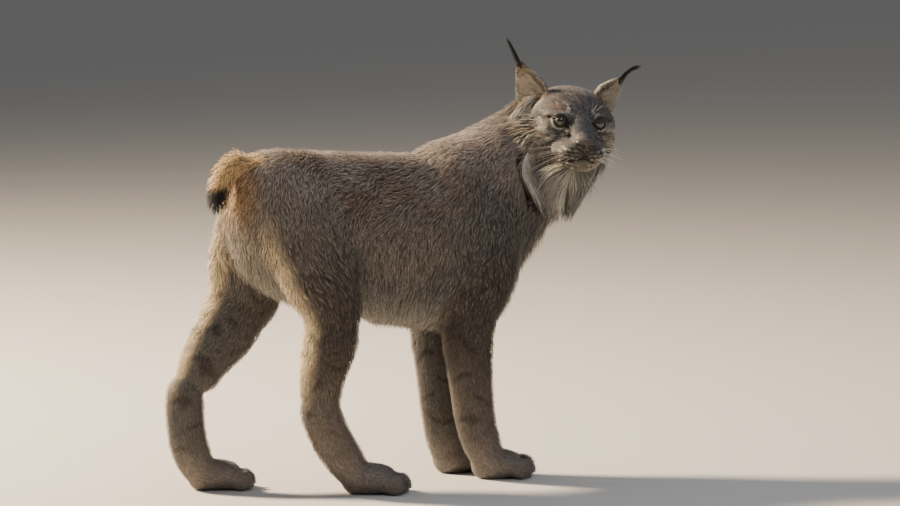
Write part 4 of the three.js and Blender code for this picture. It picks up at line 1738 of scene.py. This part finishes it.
def bead(name: str, path: Array, radii: Array, closed: bool = False) -> Piece:
    """A round bead along a line, closed at its ends.

    Args:
        name: The piece's name.
        path: Places in millimetres in the model's frame.
        radii: The bead's radius at each.
        closed: Whether the line meets itself.

    Returns:
        The object, in metres in the frame.
    """
    curve = bpy.data.curves.new(name + "_line", "CURVE")
    curve.dimensions = "3D"
    curve.bevel_depth = 1.0
    curve.bevel_resolution = 3
    curve.use_fill_caps = not closed
    spline = curve.splines.new("POLY")
    spline.points.add(len(path) - 1)
    spline.use_cyclic_u = closed
    for point, where, radius in zip(spline.points, path, radii):
        point.co = (*where, 1)
        point.radius = radius
    holder = bpy.data.objects.new(curve.name, curve)
    bpy.context.scene.collection.objects.link(holder)
    mesh = bpy.data.meshes.new_from_object(holder.evaluated_get(bpy.context.evaluated_depsgraph_get()))
    bpy.data.objects.remove(holder)
    bpy.data.curves.remove(curve)
    mesh.name = name
    shell = bmesh.new()
    shell.from_mesh(mesh)
    bmesh.ops.remove_doubles(shell, verts=shell.verts, dist=1e-4)
    bmesh.ops.recalc_face_normals(shell, faces=shell.faces)
    for vertex in shell.verts:
        vertex.co = to_frame(np.array(vertex.co))
    shell.to_mesh(mesh)
    shell.free()
    mesh.shade_smooth()
    return place(mesh)


# The body

LOBE_SECTIONS = 20
LOBE_SECTION_DEPTH = 8


@dataclass
class Body:
    """The trunk, neck, tail and legs under one skin, with their coat."""

    finish: Material
    under: Material
    voxel: float = 3.7
    passes: int = 3
    leg_passes: int = 22
    ankle: float = 78.0
    elbow: float = 250.0
    trunk_passes: int = 70
    shade: float = 0.78
    tufts: int = 104000

    def build(self) -> Skin:
        """Builds the skin; its coat follows once the head is there.

        Returns:
            The skin.
        """
        skin = Skin("body_skin", body_forms(), self.voxel, self.passes)
        shell = skin.melt()
        soften(shell, [v for v in shell.verts if v.co.z > self.ankle], self.leg_passes)
        soften(shell, [v for v in shell.verts if v.co.z > self.elbow], self.trunk_passes)
        floor = -SHIFT[2]
        for vertex in shell.verts:
            vertex.co.z = max(vertex.co.z, floor + 0.2)
        piece = skin.settle(shell)
        self.lengthen(skin)
        marks = body_marks(skin.points, skin.normals, skin.zones)
        give_colour(piece.data, marks.colour * self.shade)
        nodes = [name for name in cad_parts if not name.startswith(("head", "ear_", "eye_"))]
        dressed(piece, self.under, "coat", *nodes)
        return skin

    def lengthen(self, skin: Skin) -> None:
        """Makes the hair longer on the belly, chest, throat and backs of the thighs.

        Args:
            skin: The body's skin.
        """
        x, _, z = skin.points.T
        facing = skin.normals
        trunk = skin.zones["trunk"]
        belly = trunk * smooth(facing[:, 2], -0.2, -0.75)
        chest = smooth(x, 225, 290) * smooth(facing[:, 0], 0.0, 0.6)
        hind = skin.zones["hind_right"] + skin.zones["hind_left"]
        breech = hind * smooth(facing[:, 0], -0.2, -0.8) * smooth(z, 230, 320)
        throat = skin.zones["neck"] * smooth(facing[:, 2], 0, -0.6)
        skin.pile[:, 0] += 15 * belly + 12 * chest + 7 * breech + 6 * throat
        skin.pile[:, 1] += 8 * belly + 6 * breech
        skin.pile[:, 2] += 14 * belly + 12 * breech + 6 * chest

    def clothe(self, skin: Skin, head: Skin) -> list[Piece]:
        """Grows the coat, but for what the head covers.

        Args:
            skin: The body's skin.
            head: The head's skin.

        Returns:
            The pieces.
        """
        lobes = [Ruff.lobe(name) for name in RUFF]
        bare = np.maximum(buried(skin, head, 5.0), within(lobes, skin.points))
        bare = np.maximum(bare, smooth(skin.points[:, 2] + SHIFT[2], 3.0, 1.0))
        return Coat(skin, "body_coat", body_marks, bare, self.finish, "coat", self.tufts, 5).grow()


def within(forms: list[Form], points: Array) -> Array:
    """A share of 1 at each point that lies in one of the forms, and 0 elsewhere.

    Args:
        forms: The forms.
        points: The points.

    Returns:
        One share for each point.
    """
    share = np.zeros(len(points))
    for form in forms:
        _, wide, high, along = form.measure(points, LOBE_SECTIONS)
        inside = wide ** 2 + high ** 2 + (along / LOBE_SECTION_DEPTH) ** 2 < 1
        share = np.maximum(share, np.any(inside, axis=1))
    return share


def buried(skin: Skin, other: Skin, depth: float) -> Array:
    """A share of 1 at each point of a skin that lies inside another, and 0 elsewhere.

    Args:
        skin: The skin.
        other: The skin that may cover it.
        depth: How far inside, in millimetres.

    Returns:
        One share for each point.
    """
    tree = BVHTree.FromPolygons([tuple(p) for p in other.points], [tuple(t) for t in other.triangles])
    middle = (other.points.min(axis=0) + other.points.max(axis=0)) / 2
    reach = np.linalg.norm(other.points - middle, axis=1).max()
    near = np.flatnonzero(np.linalg.norm(skin.points - middle, axis=1) < reach)
    share = np.zeros(len(skin.points))
    for index in near:
        here = Vector(skin.points[index])
        found, normal, _, _ = tree.find_nearest(here)
        share[index] = float((here - found).dot(normal) < -depth)
    return share


# The head

@dataclass
class Head:
    """The head and ears under one skin, with the lids, lips and coat."""

    finish: Material
    under: Material
    wet: Material
    voxel: float = 1.7
    passes: int = 5
    shade: float = 0.7
    tufts: int = 30000

    def build(self) -> Skin:
        """Builds the skin with its lids and mouth.

        Returns:
            The skin.
        """
        forms = head_forms() + [shape.form() for shape in EARS.values()]
        skin = Skin("head_skin", forms, self.voxel, self.passes)
        shell = skin.melt()
        self.refine(shell, 24.0)
        self.refine(shell, 20.0)
        self.carve(shell)
        piece = skin.settle(shell)
        self.shorten(skin)
        marks = head_marks(skin.points, skin.normals, skin.zones)
        give_colour(piece.data, marks.colour * self.shade)
        dressed(piece, self.under, "coat", "head", "ear_right", "ear_left")
        return skin

    def refine(self, shell: Shell, reach: float) -> None:
        """Halves the edges near the eyes.

        Args:
            shell: The head's surface.
            reach: How near, in millimetres.
        """
        local = to_head(np.array([v.co for v in shell.verts]))
        near = np.zeros(len(local), bool)
        for side in Side:
            near |= np.linalg.norm(local - eye_centre(side), axis=1) < reach
        shell.verts.ensure_lookup_table()
        edges = [e for e in shell.edges if near[e.verts[0].index] and near[e.verts[1].index]]
        bmesh.ops.subdivide_edges(shell, edges=edges, cuts=1, use_grid_fill=True)
        shell.verts.index_update()

    def carve(self, shell: Shell) -> None:
        """Draws the lids over the eyeballs, opens them, and presses in the line of the mouth.

        Args:
            shell: The head's surface.
        """
        shell.normal_update()
        facing = np.array([v.normal for v in shell.verts]) @ np.array(HEAD_TURNED)
        local = to_head(np.array([v.co for v in shell.verts]))
        for side in Side:
            radius, across, up = on_eye(local, side)
            gap = almond(across, up)
            edge = EYE_RADIUS + 1.0 + 1.6 * smooth(gap, 0, 4.5)
            lid = np.where(gap < 0, EYE_RADIUS - 3.2 + 4.2 * smooth(gap, -1.3, 0), edge)
            free = smooth(gap, 5, 13)
            target = lid * (1 - free) + np.maximum(radius, lid) * free
            use = (radius < EYE_REACH) & (gap < 13)
            centre = eye_centre(side)
            moved = centre + (local - centre) * (target / np.maximum(radius, 1e-6))[:, None]
            local[use] = moved[use]
        line = distance_to_path(fold(local), list(MOUTH))
        press = 3.0 * np.exp(-((line / 2.6) ** 2)) - 1.0 * np.exp(-(((line - 5.5) / 2.6) ** 2))
        local -= facing * press[:, None]
        for vertex, where in zip(shell.verts, from_head(local)):
            vertex.co = where

    def shorten(self, skin: Skin) -> None:
        """Makes the hair shorter round the eyes and lips, and longer on the nape and under the chin.

        Args:
            skin: The head's skin.
        """
        local = to_head(skin.points)
        folded = fold(local)
        from_eye = np.linalg.norm(folded - np.array(EYE_AT), axis=1)
        lips = distance_to_path(folded, list(MOUTH))
        near = np.clip(smooth(from_eye, 30, 18) + smooth(lips, 12, 4), 0, 1)
        skin.pile[:, 0] += (3.2 - skin.pile[:, 0]) * near * 0.85
        skin.pile[:, 3] += (0.38 - skin.pile[:, 3]) * near
        skin.pile[:, 4] += (1.1 - skin.pile[:, 4]) * near
        skin.pile[:, 0] += 8 * smooth(local[:, 0], -20, -60) * skin.zones["head"]
        skin.pile[:, 0] += 6 * smooth(local[:, 2], -45, -70) * smooth(local[:, 0], 60, 20)

    def clothe(self, skin: Skin, body: Skin) -> list[Piece]:
        """Grows the coat, but for the eyes, nose and lips and what the neck covers.

        Args:
            skin: The head's skin.
            body: The body's skin.

        Returns:
            The pieces.
        """
        local = to_head(skin.points)
        lips = distance_to_path(fold(local), list(MOUTH))
        nose = np.linalg.norm((local - (93, 0, -27)) / (9, 16, 10.5), axis=1)
        bare = np.maximum(buried(skin, body, 6.0), lid_edge(local, 1.6))
        bare = np.maximum(bare, np.maximum(smooth(lips, 3.4, 2.4), smooth(nose, 1.05, 0.95)))
        coat = Coat(skin, "head_coat", head_marks, bare, self.finish, "coat", self.tufts, 7, 0.45, 0.32)
        return coat.grow()

    def rims(self) -> list[Piece]:
        """Makes the black rims of the lids and the lips.

        Returns:
            The three pieces.
        """
        made = []
        inner, outer = RIM_ENDS
        for side in Side:
            over = inner + (outer - inner) * np.linspace(0, 1, 30)
            roof = np.array([edge_of_almond(a, 1) for a in over])
            floor = np.array([edge_of_almond(a, -1) for a in over[::-1][1:-1]])
            across = np.concatenate([over, over[::-1][1:-1]])
            up = np.concatenate([roof, floor])
            path = from_eye_ball(across, up, EYE_RADIUS + 0.7, side)
            radii = np.where(up > 0, 1.25, 0.8) + 0.3 * smooth(across, -9, -14)
            rim = bead(f"lid_rim_{side.name.lower()}", from_head(path), radii, closed=True)
            made.append(dressed(rim, self.wet, "black_hair"))
        right = [(x, -y, z) for x, y, z in MOUTH[:-1]]
        stations = np.array(right + [MOUTH[-1]] + list(MOUTH[:-1])[::-1], float)
        sweep = np.linspace(0, 1, 40)
        line = thread(stations, sweep)
        line[:, 0] -= 0.6
        radii = 0.6 + 1.1 * np.sin(math.pi * np.clip(sweep, 0.02, 0.98)) ** 0.6
        lips = bead("lips", from_head(line), radii)
        made.append(dressed(lips, self.wet, "black_hair"))
        return made


def edge_of_almond(across: float, way: int) -> float:
    """Finds the opening's edge.

    Args:
        across: Distance along the opening towards its outer corner.
        way: 1 for the upper edge, -1 for the lower one.

    Returns:
        The edge's height.
    """
    ups = np.linspace(0, 12, 241) * way + (CORNER_DIP if across < -13.5 else 0.0)
    gaps = almond(np.full(len(ups), across), ups)
    inside = np.flatnonzero(gaps < 0)
    return float(ups[inside[-1]]) if len(inside) else float(ups[0])


def from_eye_ball(across: Array, up: Array, radius: float, side: Side) -> Array:
    """Turns places along an eyeball into places on a ball round it.

    Args:
        across: Distances towards the outer corner.
        up: Distances above the middle.
        radius: The ball's radius.
        side: Which eye.

    Returns:
        One place for each, in the head's own frame.
    """
    a, u = np.tan(across / EYE_RADIUS), np.tan(up / EYE_RADIUS)
    way = unit(np.column_stack([np.ones_like(a), a, u]))
    return eye_centre(side) + way @ eye_axes(side) * radius


@dataclass
class Eye:
    """One eyeball with a bulging clear front; its pupil looks along the gaze."""

    side: Side
    finish: Material
    gaze: float = -17.0
    tilt: float = 2.0
    bulge: float = 1.1
    clear_front: float = 0.71

    def build(self) -> Piece:
        """Makes the ball, marks each point's distance from the pupil's middle, and lifts the front.

        Returns:
            The object.
        """
        shell = bmesh.new()
        bmesh.ops.create_uvsphere(shell, u_segments=56, v_segments=44, radius=EYE_RADIUS)
        aim = Euler((0, math.radians(90 - self.tilt), math.radians(self.gaze)), "XYZ").to_matrix()
        centre = eye_centre(self.side)
        word = self.side.name.lower()
        rings = []
        for vertex in shell.verts:
            angle = math.acos(max(-1.0, min(1.0, vertex.co.z / EYE_RADIUS)))
            rings.append(angle * EYE_RADIUS)
            rise = max(0.0, math.cos(angle * 2.2)) * (angle < self.clear_front)
            lift = 1 + self.bulge / EYE_RADIUS * rise
            local = np.array(aim @ (vertex.co * lift)) + centre
            vertex.co = to_frame(from_head(local))
        mesh = bpy.data.meshes.new(f"eyeball_{word}")
        shell.to_mesh(mesh)
        shell.free()
        mesh.attributes.new("ring", "FLOAT", "POINT").data.foreach_set("value", rings)
        mesh.shade_smooth()
        return dressed(place(mesh), self.finish, "eye", f"eye_{word}")


@dataclass
class Nose:
    """The nose leather, with its nostrils and the cleft below."""

    finish: Material
    voxel: float = 0.75
    passes: int = 5
    colour: str = "564a43"

    def build(self) -> Piece:
        """Melts the pad, opens the nostrils and colours it.

        Returns:
            The object.
        """
        pad = [
            Station((80, 0, -24), 13, 8), Station((88, 0, -26), 16, 10.5, -0.42),
            Station((96, 0, -27), 13.5, 9.5, -0.48), Station((99.5, 0, -27), 9, 6, -0.3),
        ]
        forms = [Form("nose", pad, MUZZLE_PILE, place=HEAD_PLACE, cap=0.25)]
        forms.append(ball("nose", (92, 0, -38), (6, 3.2, 7), MUZZLE_PILE, place=HEAD_PLACE))
        skin = Skin("nose_leather", forms, self.voxel, self.passes)
        shell = skin.melt()
        shell.normal_update()
        local = to_head(np.array([v.co for v in shell.verts]))
        facing = np.array([v.normal for v in shell.verts]) @ np.array(HEAD_TURNED)
        folded = fold(local)
        hole = np.linalg.norm((folded - (98, 7.2, -29.5)) / (7, 5.4, 4.4), axis=1)
        slit = np.linalg.norm((folded - (94, 12.8, -28)) / (5, 3.6, 1.9), axis=1)
        dark = np.clip(smooth(hole, 1.15, 0.7) + smooth(slit, 1.2, 0.8), 0, 1)
        cleft = np.exp(-((local[:, 1] / 0.9) ** 2)) * smooth(local[:, 2], -29, -33)
        local -= facing * (3.6 * dark + 1.4 * cleft)[:, None]
        for vertex, where in zip(shell.verts, from_head(local)):
            vertex.co = where
        piece = skin.settle(shell)
        _, flat, z = folded.T
        rim = smooth(flat, 11, 15) + smooth(z, -33, -38) + smooth(z, -21, -18) * 0.7
        # Painted shade: the nostrils and the cleft are painted black as shade in these hollows; the darker
        # rim is the leather's own colour
        shade = np.clip(dark * 1.2 + cleft + rim * 0.75, 0, 1)
        give_colour(piece.data, blend(linear(self.colour), Tone.BLACK.rgb, shade))
        return dressed(piece, self.finish, "nose_leather")


# Long hair, in lobes by the middles, half widths and half depths of their sections in the head's frame

RUFF = {
    "right": (
        ((18, -64, -34), 18, 7), ((20, -77, -54), 21, 8), ((24, -79, -80), 21, 8), ((28, -62, -112), 18, 7),
        ((30, -41, -150), 11, 5),
    ),
    "left": (
        ((-34, 56, 12), 22, 18), ((-28, 56, -28), 28, 17), ((-10, 38, -68), 25, 16), ((4, 17, -108), 17, 11),
        ((9, 2, -160), 5, 4),
    ),
    "throat": (
        ((60, -2, -58), 32, 11), ((46, -12, -86), 45, 14), ((30, -17, -124), 31, 10),
        ((18, -14, -162), 13, 4),
    ),
    "cheek": (
        ((44, -32, 2), 22, 3), ((34, -47, -4), 32, 6), ((22, -63, -16), 38, 8), ((13, -78, -34), 40, 9),
        ((8, -90, -56), 38, 8), ((6, -97, -80), 32, 6),
    ),
    "nape": (
        ((-10, -56, 46), 16, 6), ((-20, -66, 34), 22, 8), ((-28, -77, 16), 27, 9), ((-32, -86, -6), 30, 9),
        ((-32, -93, -30), 30, 8), ((-30, -98, -56), 28, 6),
    ),
}
RUFF_SIDE = {
    "right": (0.3, 0.95, 0.0), "left": (-0.7, 0.7, 0.0), "throat": (0.0, 1.0, 0.0),
    "cheek": (0.53, 0.59, -0.6), "nape": (0.9, 0.3, -0.3),
}
LONG_REACH = (0.3, 0.46)
SHORT_REACH = (0.2, 0.3)
RUFF_REACH = {
    "right": LONG_REACH, "left": LONG_REACH, "throat": LONG_REACH, "cheek": SHORT_REACH, "nape": SHORT_REACH,
}


@dataclass
class Ruff:
    """The long hair of the ruff, throat, near cheek and nape, strand by strand."""

    finish: Material
    strands: int = 1500
    rings: int = 4
    half_width: float = 0.6
    taper: tuple[float, ...] = (1.0, 1.0, 0.85, 0.6)
    spread: float = 0.2
    seed: int = 17

    @staticmethod
    def lobe(name: str) -> Form:
        """The space that one lobe fills."""
        stations = [Station(at, wide, high) for at, wide, high in RUFF[name]]
        return Form("ruff", stations, CHEEK_PILE, side=RUFF_SIDE[name], place=HEAD_PLACE, cap=0.1)

    def build(self) -> list[Piece]:
        """Makes all the lobes.

        Returns:
            The pieces.
        """
        made = []
        draw = np.random.default_rng(self.seed)
        for name in RUFF:
            strands = self.strands_of(name, draw)
            piece = place(strands.mesh(f"ruff_{name}"))
            made.append(dressed(piece, self.finish, "coat"))
        return made

    def strands_of(self, name: str, draw: Random) -> Strands:
        """Lays the strands down the lobe, from its root and all along it.

        Args:
            name: Which lobe.
            draw: The random draw.

        Returns:
            The strands.
        """
        form = self.lobe(name)
        count = int(self.strands * (1))
        start = 0.02 + 0.62 * draw.random(count) ** 1.1
        low, high = RUFF_REACH[name]
        reach = draw.uniform(low, high, count) * (1 - 0.25 * start)
        radius = np.sqrt(draw.uniform(0.25, 1.0, count))
        angle = draw.uniform(0, 2 * math.pi, count)
        a, b = radius * np.cos(angle), radius * np.sin(angle)
        spread = draw.normal(0, self.spread, (2, count))
        steps = np.linspace(0, 1, self.rings + 1)
        paths = np.empty((count, self.rings + 1, 3))
        for index, step in enumerate(steps):
            t = np.clip(start + reach * step, 0, 1)
            bow = 1 - 0.5 * (1 - step) ** 2 + 0.1 * step
            paths[:, index] = form.place_at(t, (a + spread[0] * step) * bow, (b + spread[1] * step) * bow)
        middle = form.course(np.clip(start + reach * 0.5, 0, 1))[0]
        turn = np.array(HEAD_PLACE)
        outward = unit(paths[:, 2] - (middle @ turn[:3, :3].T + turn[:3, 3]))
        along = unit(paths[:, -1] - paths[:, 0])
        outward = in_plane(outward, along)
        across = unit(np.cross(outward, along))
        width = self.half_width * draw.uniform(0.7, 1.25, (count, 1)) * np.array(self.taper)
        width = width * 1
        colour = self.colours(name, paths, a, draw)
        home = scattered(draw, count)
        return Strands(paths, across, outward, width, colour, home)

    def colours(self, name: str, paths: Array, a: Array, draw: Random) -> Array:
        """Streaky cream, tan and grey hair, with black along the ruff's outer edge and down the throat.

        Args:
            name: Which lobe.
            paths: The strands' places.
            a: How far across the lobe each begins, from -1 to 1.
            draw: The random draw.

        Returns:
            A colour for each place.
        """
        count, places = paths.shape[:2]
        lot = draw.random(count)
        tone = np.tile(Tone.CHEEK.rgb, (count, 1))
        tone[lot < 0.35] = Tone.CREAM.rgb
        if name in ("cheek", "nape"):
            tone[lot > 0.7] = Tone.HEAD.rgb
            tone[lot > 0.88] = Tone.TAN.rgb
        else:
            tone[lot > 0.5] = Tone.WHITE.rgb
        x, y, z = to_head(paths.reshape(-1, 3)).T
        tone = np.repeat(tone, places, axis=0)
        edge = np.repeat(a, places)
        if name == "right":
            tone = blend(tone, Tone.BLACK.rgb, smooth(edge, -0.05, -0.4) * smooth(z, -24, -56))
        if name == "left":
            tone = blend(tone, Tone.DARK.rgb, smooth(x, 2, -14) * smooth(z, -40, -75) * 0.9)
        if name == "throat":
            middle = np.abs(y + 12 + 0.1 * (z + 100))
            tone = blend(tone, Tone.DARK.rgb, smooth(middle, 4.0, 1.5) * smooth(z, -88, -108) * 0.9)
            tone = blend(tone, Tone.CHEEK.rgb, smooth(z, -90, -64) * 0.6)
        tone = tone.reshape(count, places, 3) * draw.uniform(0.72, 1.15, (count, 1, 1))
        # The root is darker: partly darker underfur, partly painted shade deep in the ruff
        tone[:, 0] *= 0.6
        return tone


@dataclass
class EarHair:
    """The black tuft at an ear's tip, and the pale hair that crosses its cup."""

    name: str
    shape: EarShape
    finish: Material
    tuft_count: int = 90
    tuft_half_width: float = 0.5
    cup_count: int = 260
    cup_half_width: float = 0.38
    seed: int = 23

    def build(self) -> list[Piece]:
        """Makes the tuft and the cup's hair.

        Returns:
            The two pieces.
        """
        draw = np.random.default_rng(self.seed + self.shape.side.value)
        tuft = place(self.tuft(draw).mesh(f"{self.name}_tuft"))
        cup = place(self.cup(draw).mesh(f"{self.name}_hair"))
        return [dressed(tuft, self.finish, "black_hair"), dressed(cup, self.finish, "coat")]

    def tuft(self, draw: Random) -> Strands:
        """Lays black strands that rise from the ear's tip and close to a point.

        Args:
            draw: The random draw.

        Returns:
            The strands.
        """
        along, opening, across = self.shape.axes()
        tip, end, bow = (np.array(v, float) for v in (self.shape.tip, self.shape.tuft, self.shape.bow))
        count = self.tuft_count
        low = draw.uniform(-0.14, 0.06, count)
        sway = draw.normal(0, 1.0, (2, count))
        begin = tip + along * low[:, None] + across * (sway[0] * 1.7)[:, None] + opening * sway[1][:, None]
        reach = draw.uniform(0.7, 1.0, count)[:, None]
        finish = tip + (end - tip) * reach + across * (sway[0] * 0.8)[:, None]
        finish = finish + opening * (sway[1] * 0.6)[:, None]
        steps = np.linspace(0, 1, 6)
        paths = np.stack([begin + (finish - begin) * s + bow * 4 * s * (1 - s) for s in steps], axis=1)
        black = (Tone.BLACK.rgb, Tone.BLACK.rgb)
        return self.strands(from_head(paths), across, opening, self.tuft_half_width, black, draw)

    def cup(self, draw: Random) -> Strands:
        """Lays pale strands from the inner edge, out and up across the cup.

        Args:
            draw: The random draw.

        Returns:
            The strands.
        """
        along, opening, across = self.shape.axes()
        root = np.array(self.shape.root, float)
        count = self.cup_count
        inner = across * -self.shape.side.value * np.sign(across[1])
        rise = draw.uniform(0.0, 0.62, count)[:, None]
        wide = 24 * (1 - 0.75 * rise)
        shift = draw.uniform(-0.7, 0.95, count)[:, None]
        begin = root + along * rise + inner * wide * shift + opening * draw.uniform(0, 5, (count, 1))
        length = draw.uniform(10, 20, (count, 1)) * (1 - 0.3 * rise)
        way = unit(unit(along) - inner * draw.uniform(0.25, 1.0, (count, 1)) + opening * 0.45)
        steps = np.linspace(0, 1, 5)
        paths = np.stack([begin + way * length * s - opening * (3 * s * s) for s in steps], axis=1)
        tones = (Tone.EAR_INSIDE.rgb, Tone.CREAM.rgb)
        return self.strands(from_head(paths), across, opening, self.cup_half_width, tones, draw)

    def strands(self, paths: Array, across: Array, outward: Array, half_width: float,
                tones: tuple[Array, Array], draw: Random) -> Strands:
        """Joins paths, directions and colours into strands.

        Args:
            paths: Places for each strand in the model's frame.
            across: The direction across the ear, in the head's frame.
            outward: The direction out of its open side, in the head's frame.
            half_width: The strands' half width at their roots.
            tones: The colours of roots and tips.
            draw: The random draw.

        Returns:
            The strands.
        """
        count, places = paths.shape[:2]
        turn = np.array(HEAD_TURNED).T
        taper = np.linspace(1.0, 0.45, places - 1)
        width = half_width * draw.uniform(0.7, 1.2, (count, 1)) * taper
        share = np.linspace(0, 1, places)[:, None]
        root, tip = tones
        colour = (root + (tip - root) * share) * draw.uniform(0.75, 1.1, (count, 1, 1))
        home = scattered(draw, count)
        side = np.broadcast_to(across @ turn, (count, 3))
        return Strands(paths, side, np.broadcast_to(outward @ turn, (count, 3)), width, colour, home)


@dataclass
class Whiskers:
    """White whiskers in four rows on the pads, and two above each eye."""

    finish: Material
    rows: int = 4
    each: int = 5
    over_eye: int = 2
    far_side: float = 0.72
    places: int = 8
    half_widths: tuple[float, float] = (0.44, 0.16)
    droop: Place = (-0.6, 0.0, -0.24)
    seed: int = 31

    def build(self) -> Piece:
        """Makes all the whiskers.

        Returns:
            The object.
        """
        draw = np.random.default_rng(self.seed)
        begin, way, length = [], [], []
        for side in Side:
            s = side.value
            for row in range(self.rows):
                for index in range(self.each):
                    share = index / (self.each - 1)
                    begin.append((82 - 20 * share, s * (15 + 13 * share), -34 - 4.2 * row))
                    lift = 0.12 - 0.14 * row + draw.normal(0, 0.06)
                    way.append((0.42 - 0.2 * share, s * (1.0 + draw.normal(0, 0.06)), lift))
                    reach = 1.0 if side is Side.RIGHT else self.far_side
                    length.append((draw.uniform(34, 48) + 36 * share) * reach)
            for index in range(self.over_eye):
                begin.append((46 - 3 * index, s * (22 + 6 * index), 27))
                way.append((0.5, s * (0.35 + 0.3 * index), 0.8))
                length.append(draw.uniform(20, 28))
        begin, way, length = np.array(begin, float), unit(np.array(way, float)), np.array(length)[:, None]
        steps = np.linspace(0, 1, self.places)
        droop = np.array(self.droop)
        local = np.stack([begin + way * length * s + droop * length * s * s for s in steps], axis=1)
        paths = from_head(local)
        along = unit(paths[:, -1] - paths[:, 0])
        outward = unit(np.cross(along, np.array((0.3, 0.2, 1.0))))
        across = np.cross(outward, along)
        count = len(paths)
        width = np.tile(np.linspace(*self.half_widths, self.places - 1), (count, 1))
        colour = np.tile(Tone.WHITE.rgb * 1.25, (count, self.places, 1))
        home = scattered(draw, count)
        mesh = Strands(paths, across, outward, width, colour, home).mesh("whiskers")
        return dressed(place(mesh), self.finish, "coat")


# The studio and the camera

@dataclass(frozen=True)
class Lamp:
    """A soft rectangular light."""

    name: str
    at: Place
    aim: Place
    size: float
    watts: float
    colour: str

    def build(self) -> None:
        """Hangs the light."""
        light = bpy.data.lights.new(self.name, "AREA")
        light.shape = "SQUARE"
        light.size = self.size
        light.energy = self.watts
        light.color = linear(self.colour)
        lamp = bpy.data.objects.new(self.name, light)
        lamp.location = self.at
        lamp.rotation_euler = (Vector(self.aim) - Vector(self.at)).to_track_quat("-Z", "Y").to_euler()
        bpy.context.scene.collection.objects.link(lamp)


@dataclass
class Studio:
    """A pale floor, a pale surround and soft lights, the warm one high behind on the left."""

    lamps: tuple[Lamp, ...] = (
        Lamp("sun_side", (-2.6, 3.0, 3.2), (0.0, 0.0, 0.35), 0.7, 1050.0, "ffe6c4"),
        Lamp("camera_side", (-1.2, -4.2, 4.2), (0.0, 0.0, 0.3), 2.0, 62.0, "eef3ff"),
        Lamp("overhead", (0.8, 0.2, 3.6), (0.0, 0.0, 0.3), 2.6, 40.0, "f4f7ff"),
    )
    surround: str = "c9ccd2"
    surround_strength: float = 0.3

    def build(self) -> None:
        """Lays the floor and sets the lights and surround."""
        shell = bmesh.new()
        bmesh.ops.create_grid(shell, x_segments=1, y_segments=1, size=60.0)
        mesh = bpy.data.meshes.new("studio_floor")
        shell.to_mesh(mesh)
        shell.free()
        floor = place(mesh)
        mesh.materials.append(StudioPaper().make())
        for lamp in self.lamps:
            lamp.build()
        world = bpy.data.worlds.new("studio_air")
        world.use_nodes = True
        air = world.node_tree.nodes["Background"]
        air.inputs["Color"].default_value = (*linear(self.surround), 1)
        air.inputs["Strength"].default_value = self.surround_strength
        bpy.context.scene.world = world


@dataclass
class Viewpoint:
    """The photograph's view: from behind the right flank, a little above the back's middle."""

    azimuth: float = -32.0
    elevation: float = 5.0
    distance: float = 7.0
    lens: float = 175.0
    aim_right: float = 0.053
    aim_up: float = 0.369

    def build(self) -> None:
        """Places the camera."""
        turn, lift = math.radians(self.azimuth), math.radians(self.elevation)
        right = Vector((math.cos(turn), math.sin(turn), 0))
        aim = right * self.aim_right + Vector((0, 0, self.aim_up))
        away = Vector((math.sin(turn) * math.cos(lift), -math.cos(turn) * math.cos(lift), math.sin(lift)))
        data = bpy.data.cameras.new("camera")
        data.lens = self.lens
        data.sensor_width = 36.0
        camera = bpy.data.objects.new("camera", data)
        camera.location = aim + away * self.distance
        camera.rotation_euler = (-away).to_track_quat("-Z", "Y").to_euler()
        bpy.context.scene.collection.objects.link(camera)
        bpy.context.scene.camera = camera


def main() -> None:
    """Builds the lynx, its studio and the camera."""
    Viewpoint().build()
    Studio().build()
    fur = Keratin("winter_fur").make()
    bare = Keratin("skin_under_fur", roughness=0.85, sheen=0.0, grain_mm=2.2, spread=0.35, relief_mm=1.2)
    under = bare.make()
    long_hair = Keratin("long_guard_hair", roughness=0.5, grain_mm=9.0, spread=0.12).make()
    wet = WetLid().make()
    body = Body(fur, under)
    head = Head(fur, under, wet)
    body_skin = body.build()
    head_skin = head.build()
    body.clothe(body_skin, head_skin)
    head.clothe(head_skin, body_skin)
    head.rims()
    iris = Eyeball().make()
    for side in Side:
        Eye(side, iris).build()
    Nose(NoseLeather().make()).build()
    Ruff(long_hair).build()
    for name, shape in EARS.items():
        EarHair(name, shape, long_hair).build()
    Whiskers(long_hair).build()


if __name__ == "__main__":
    main()
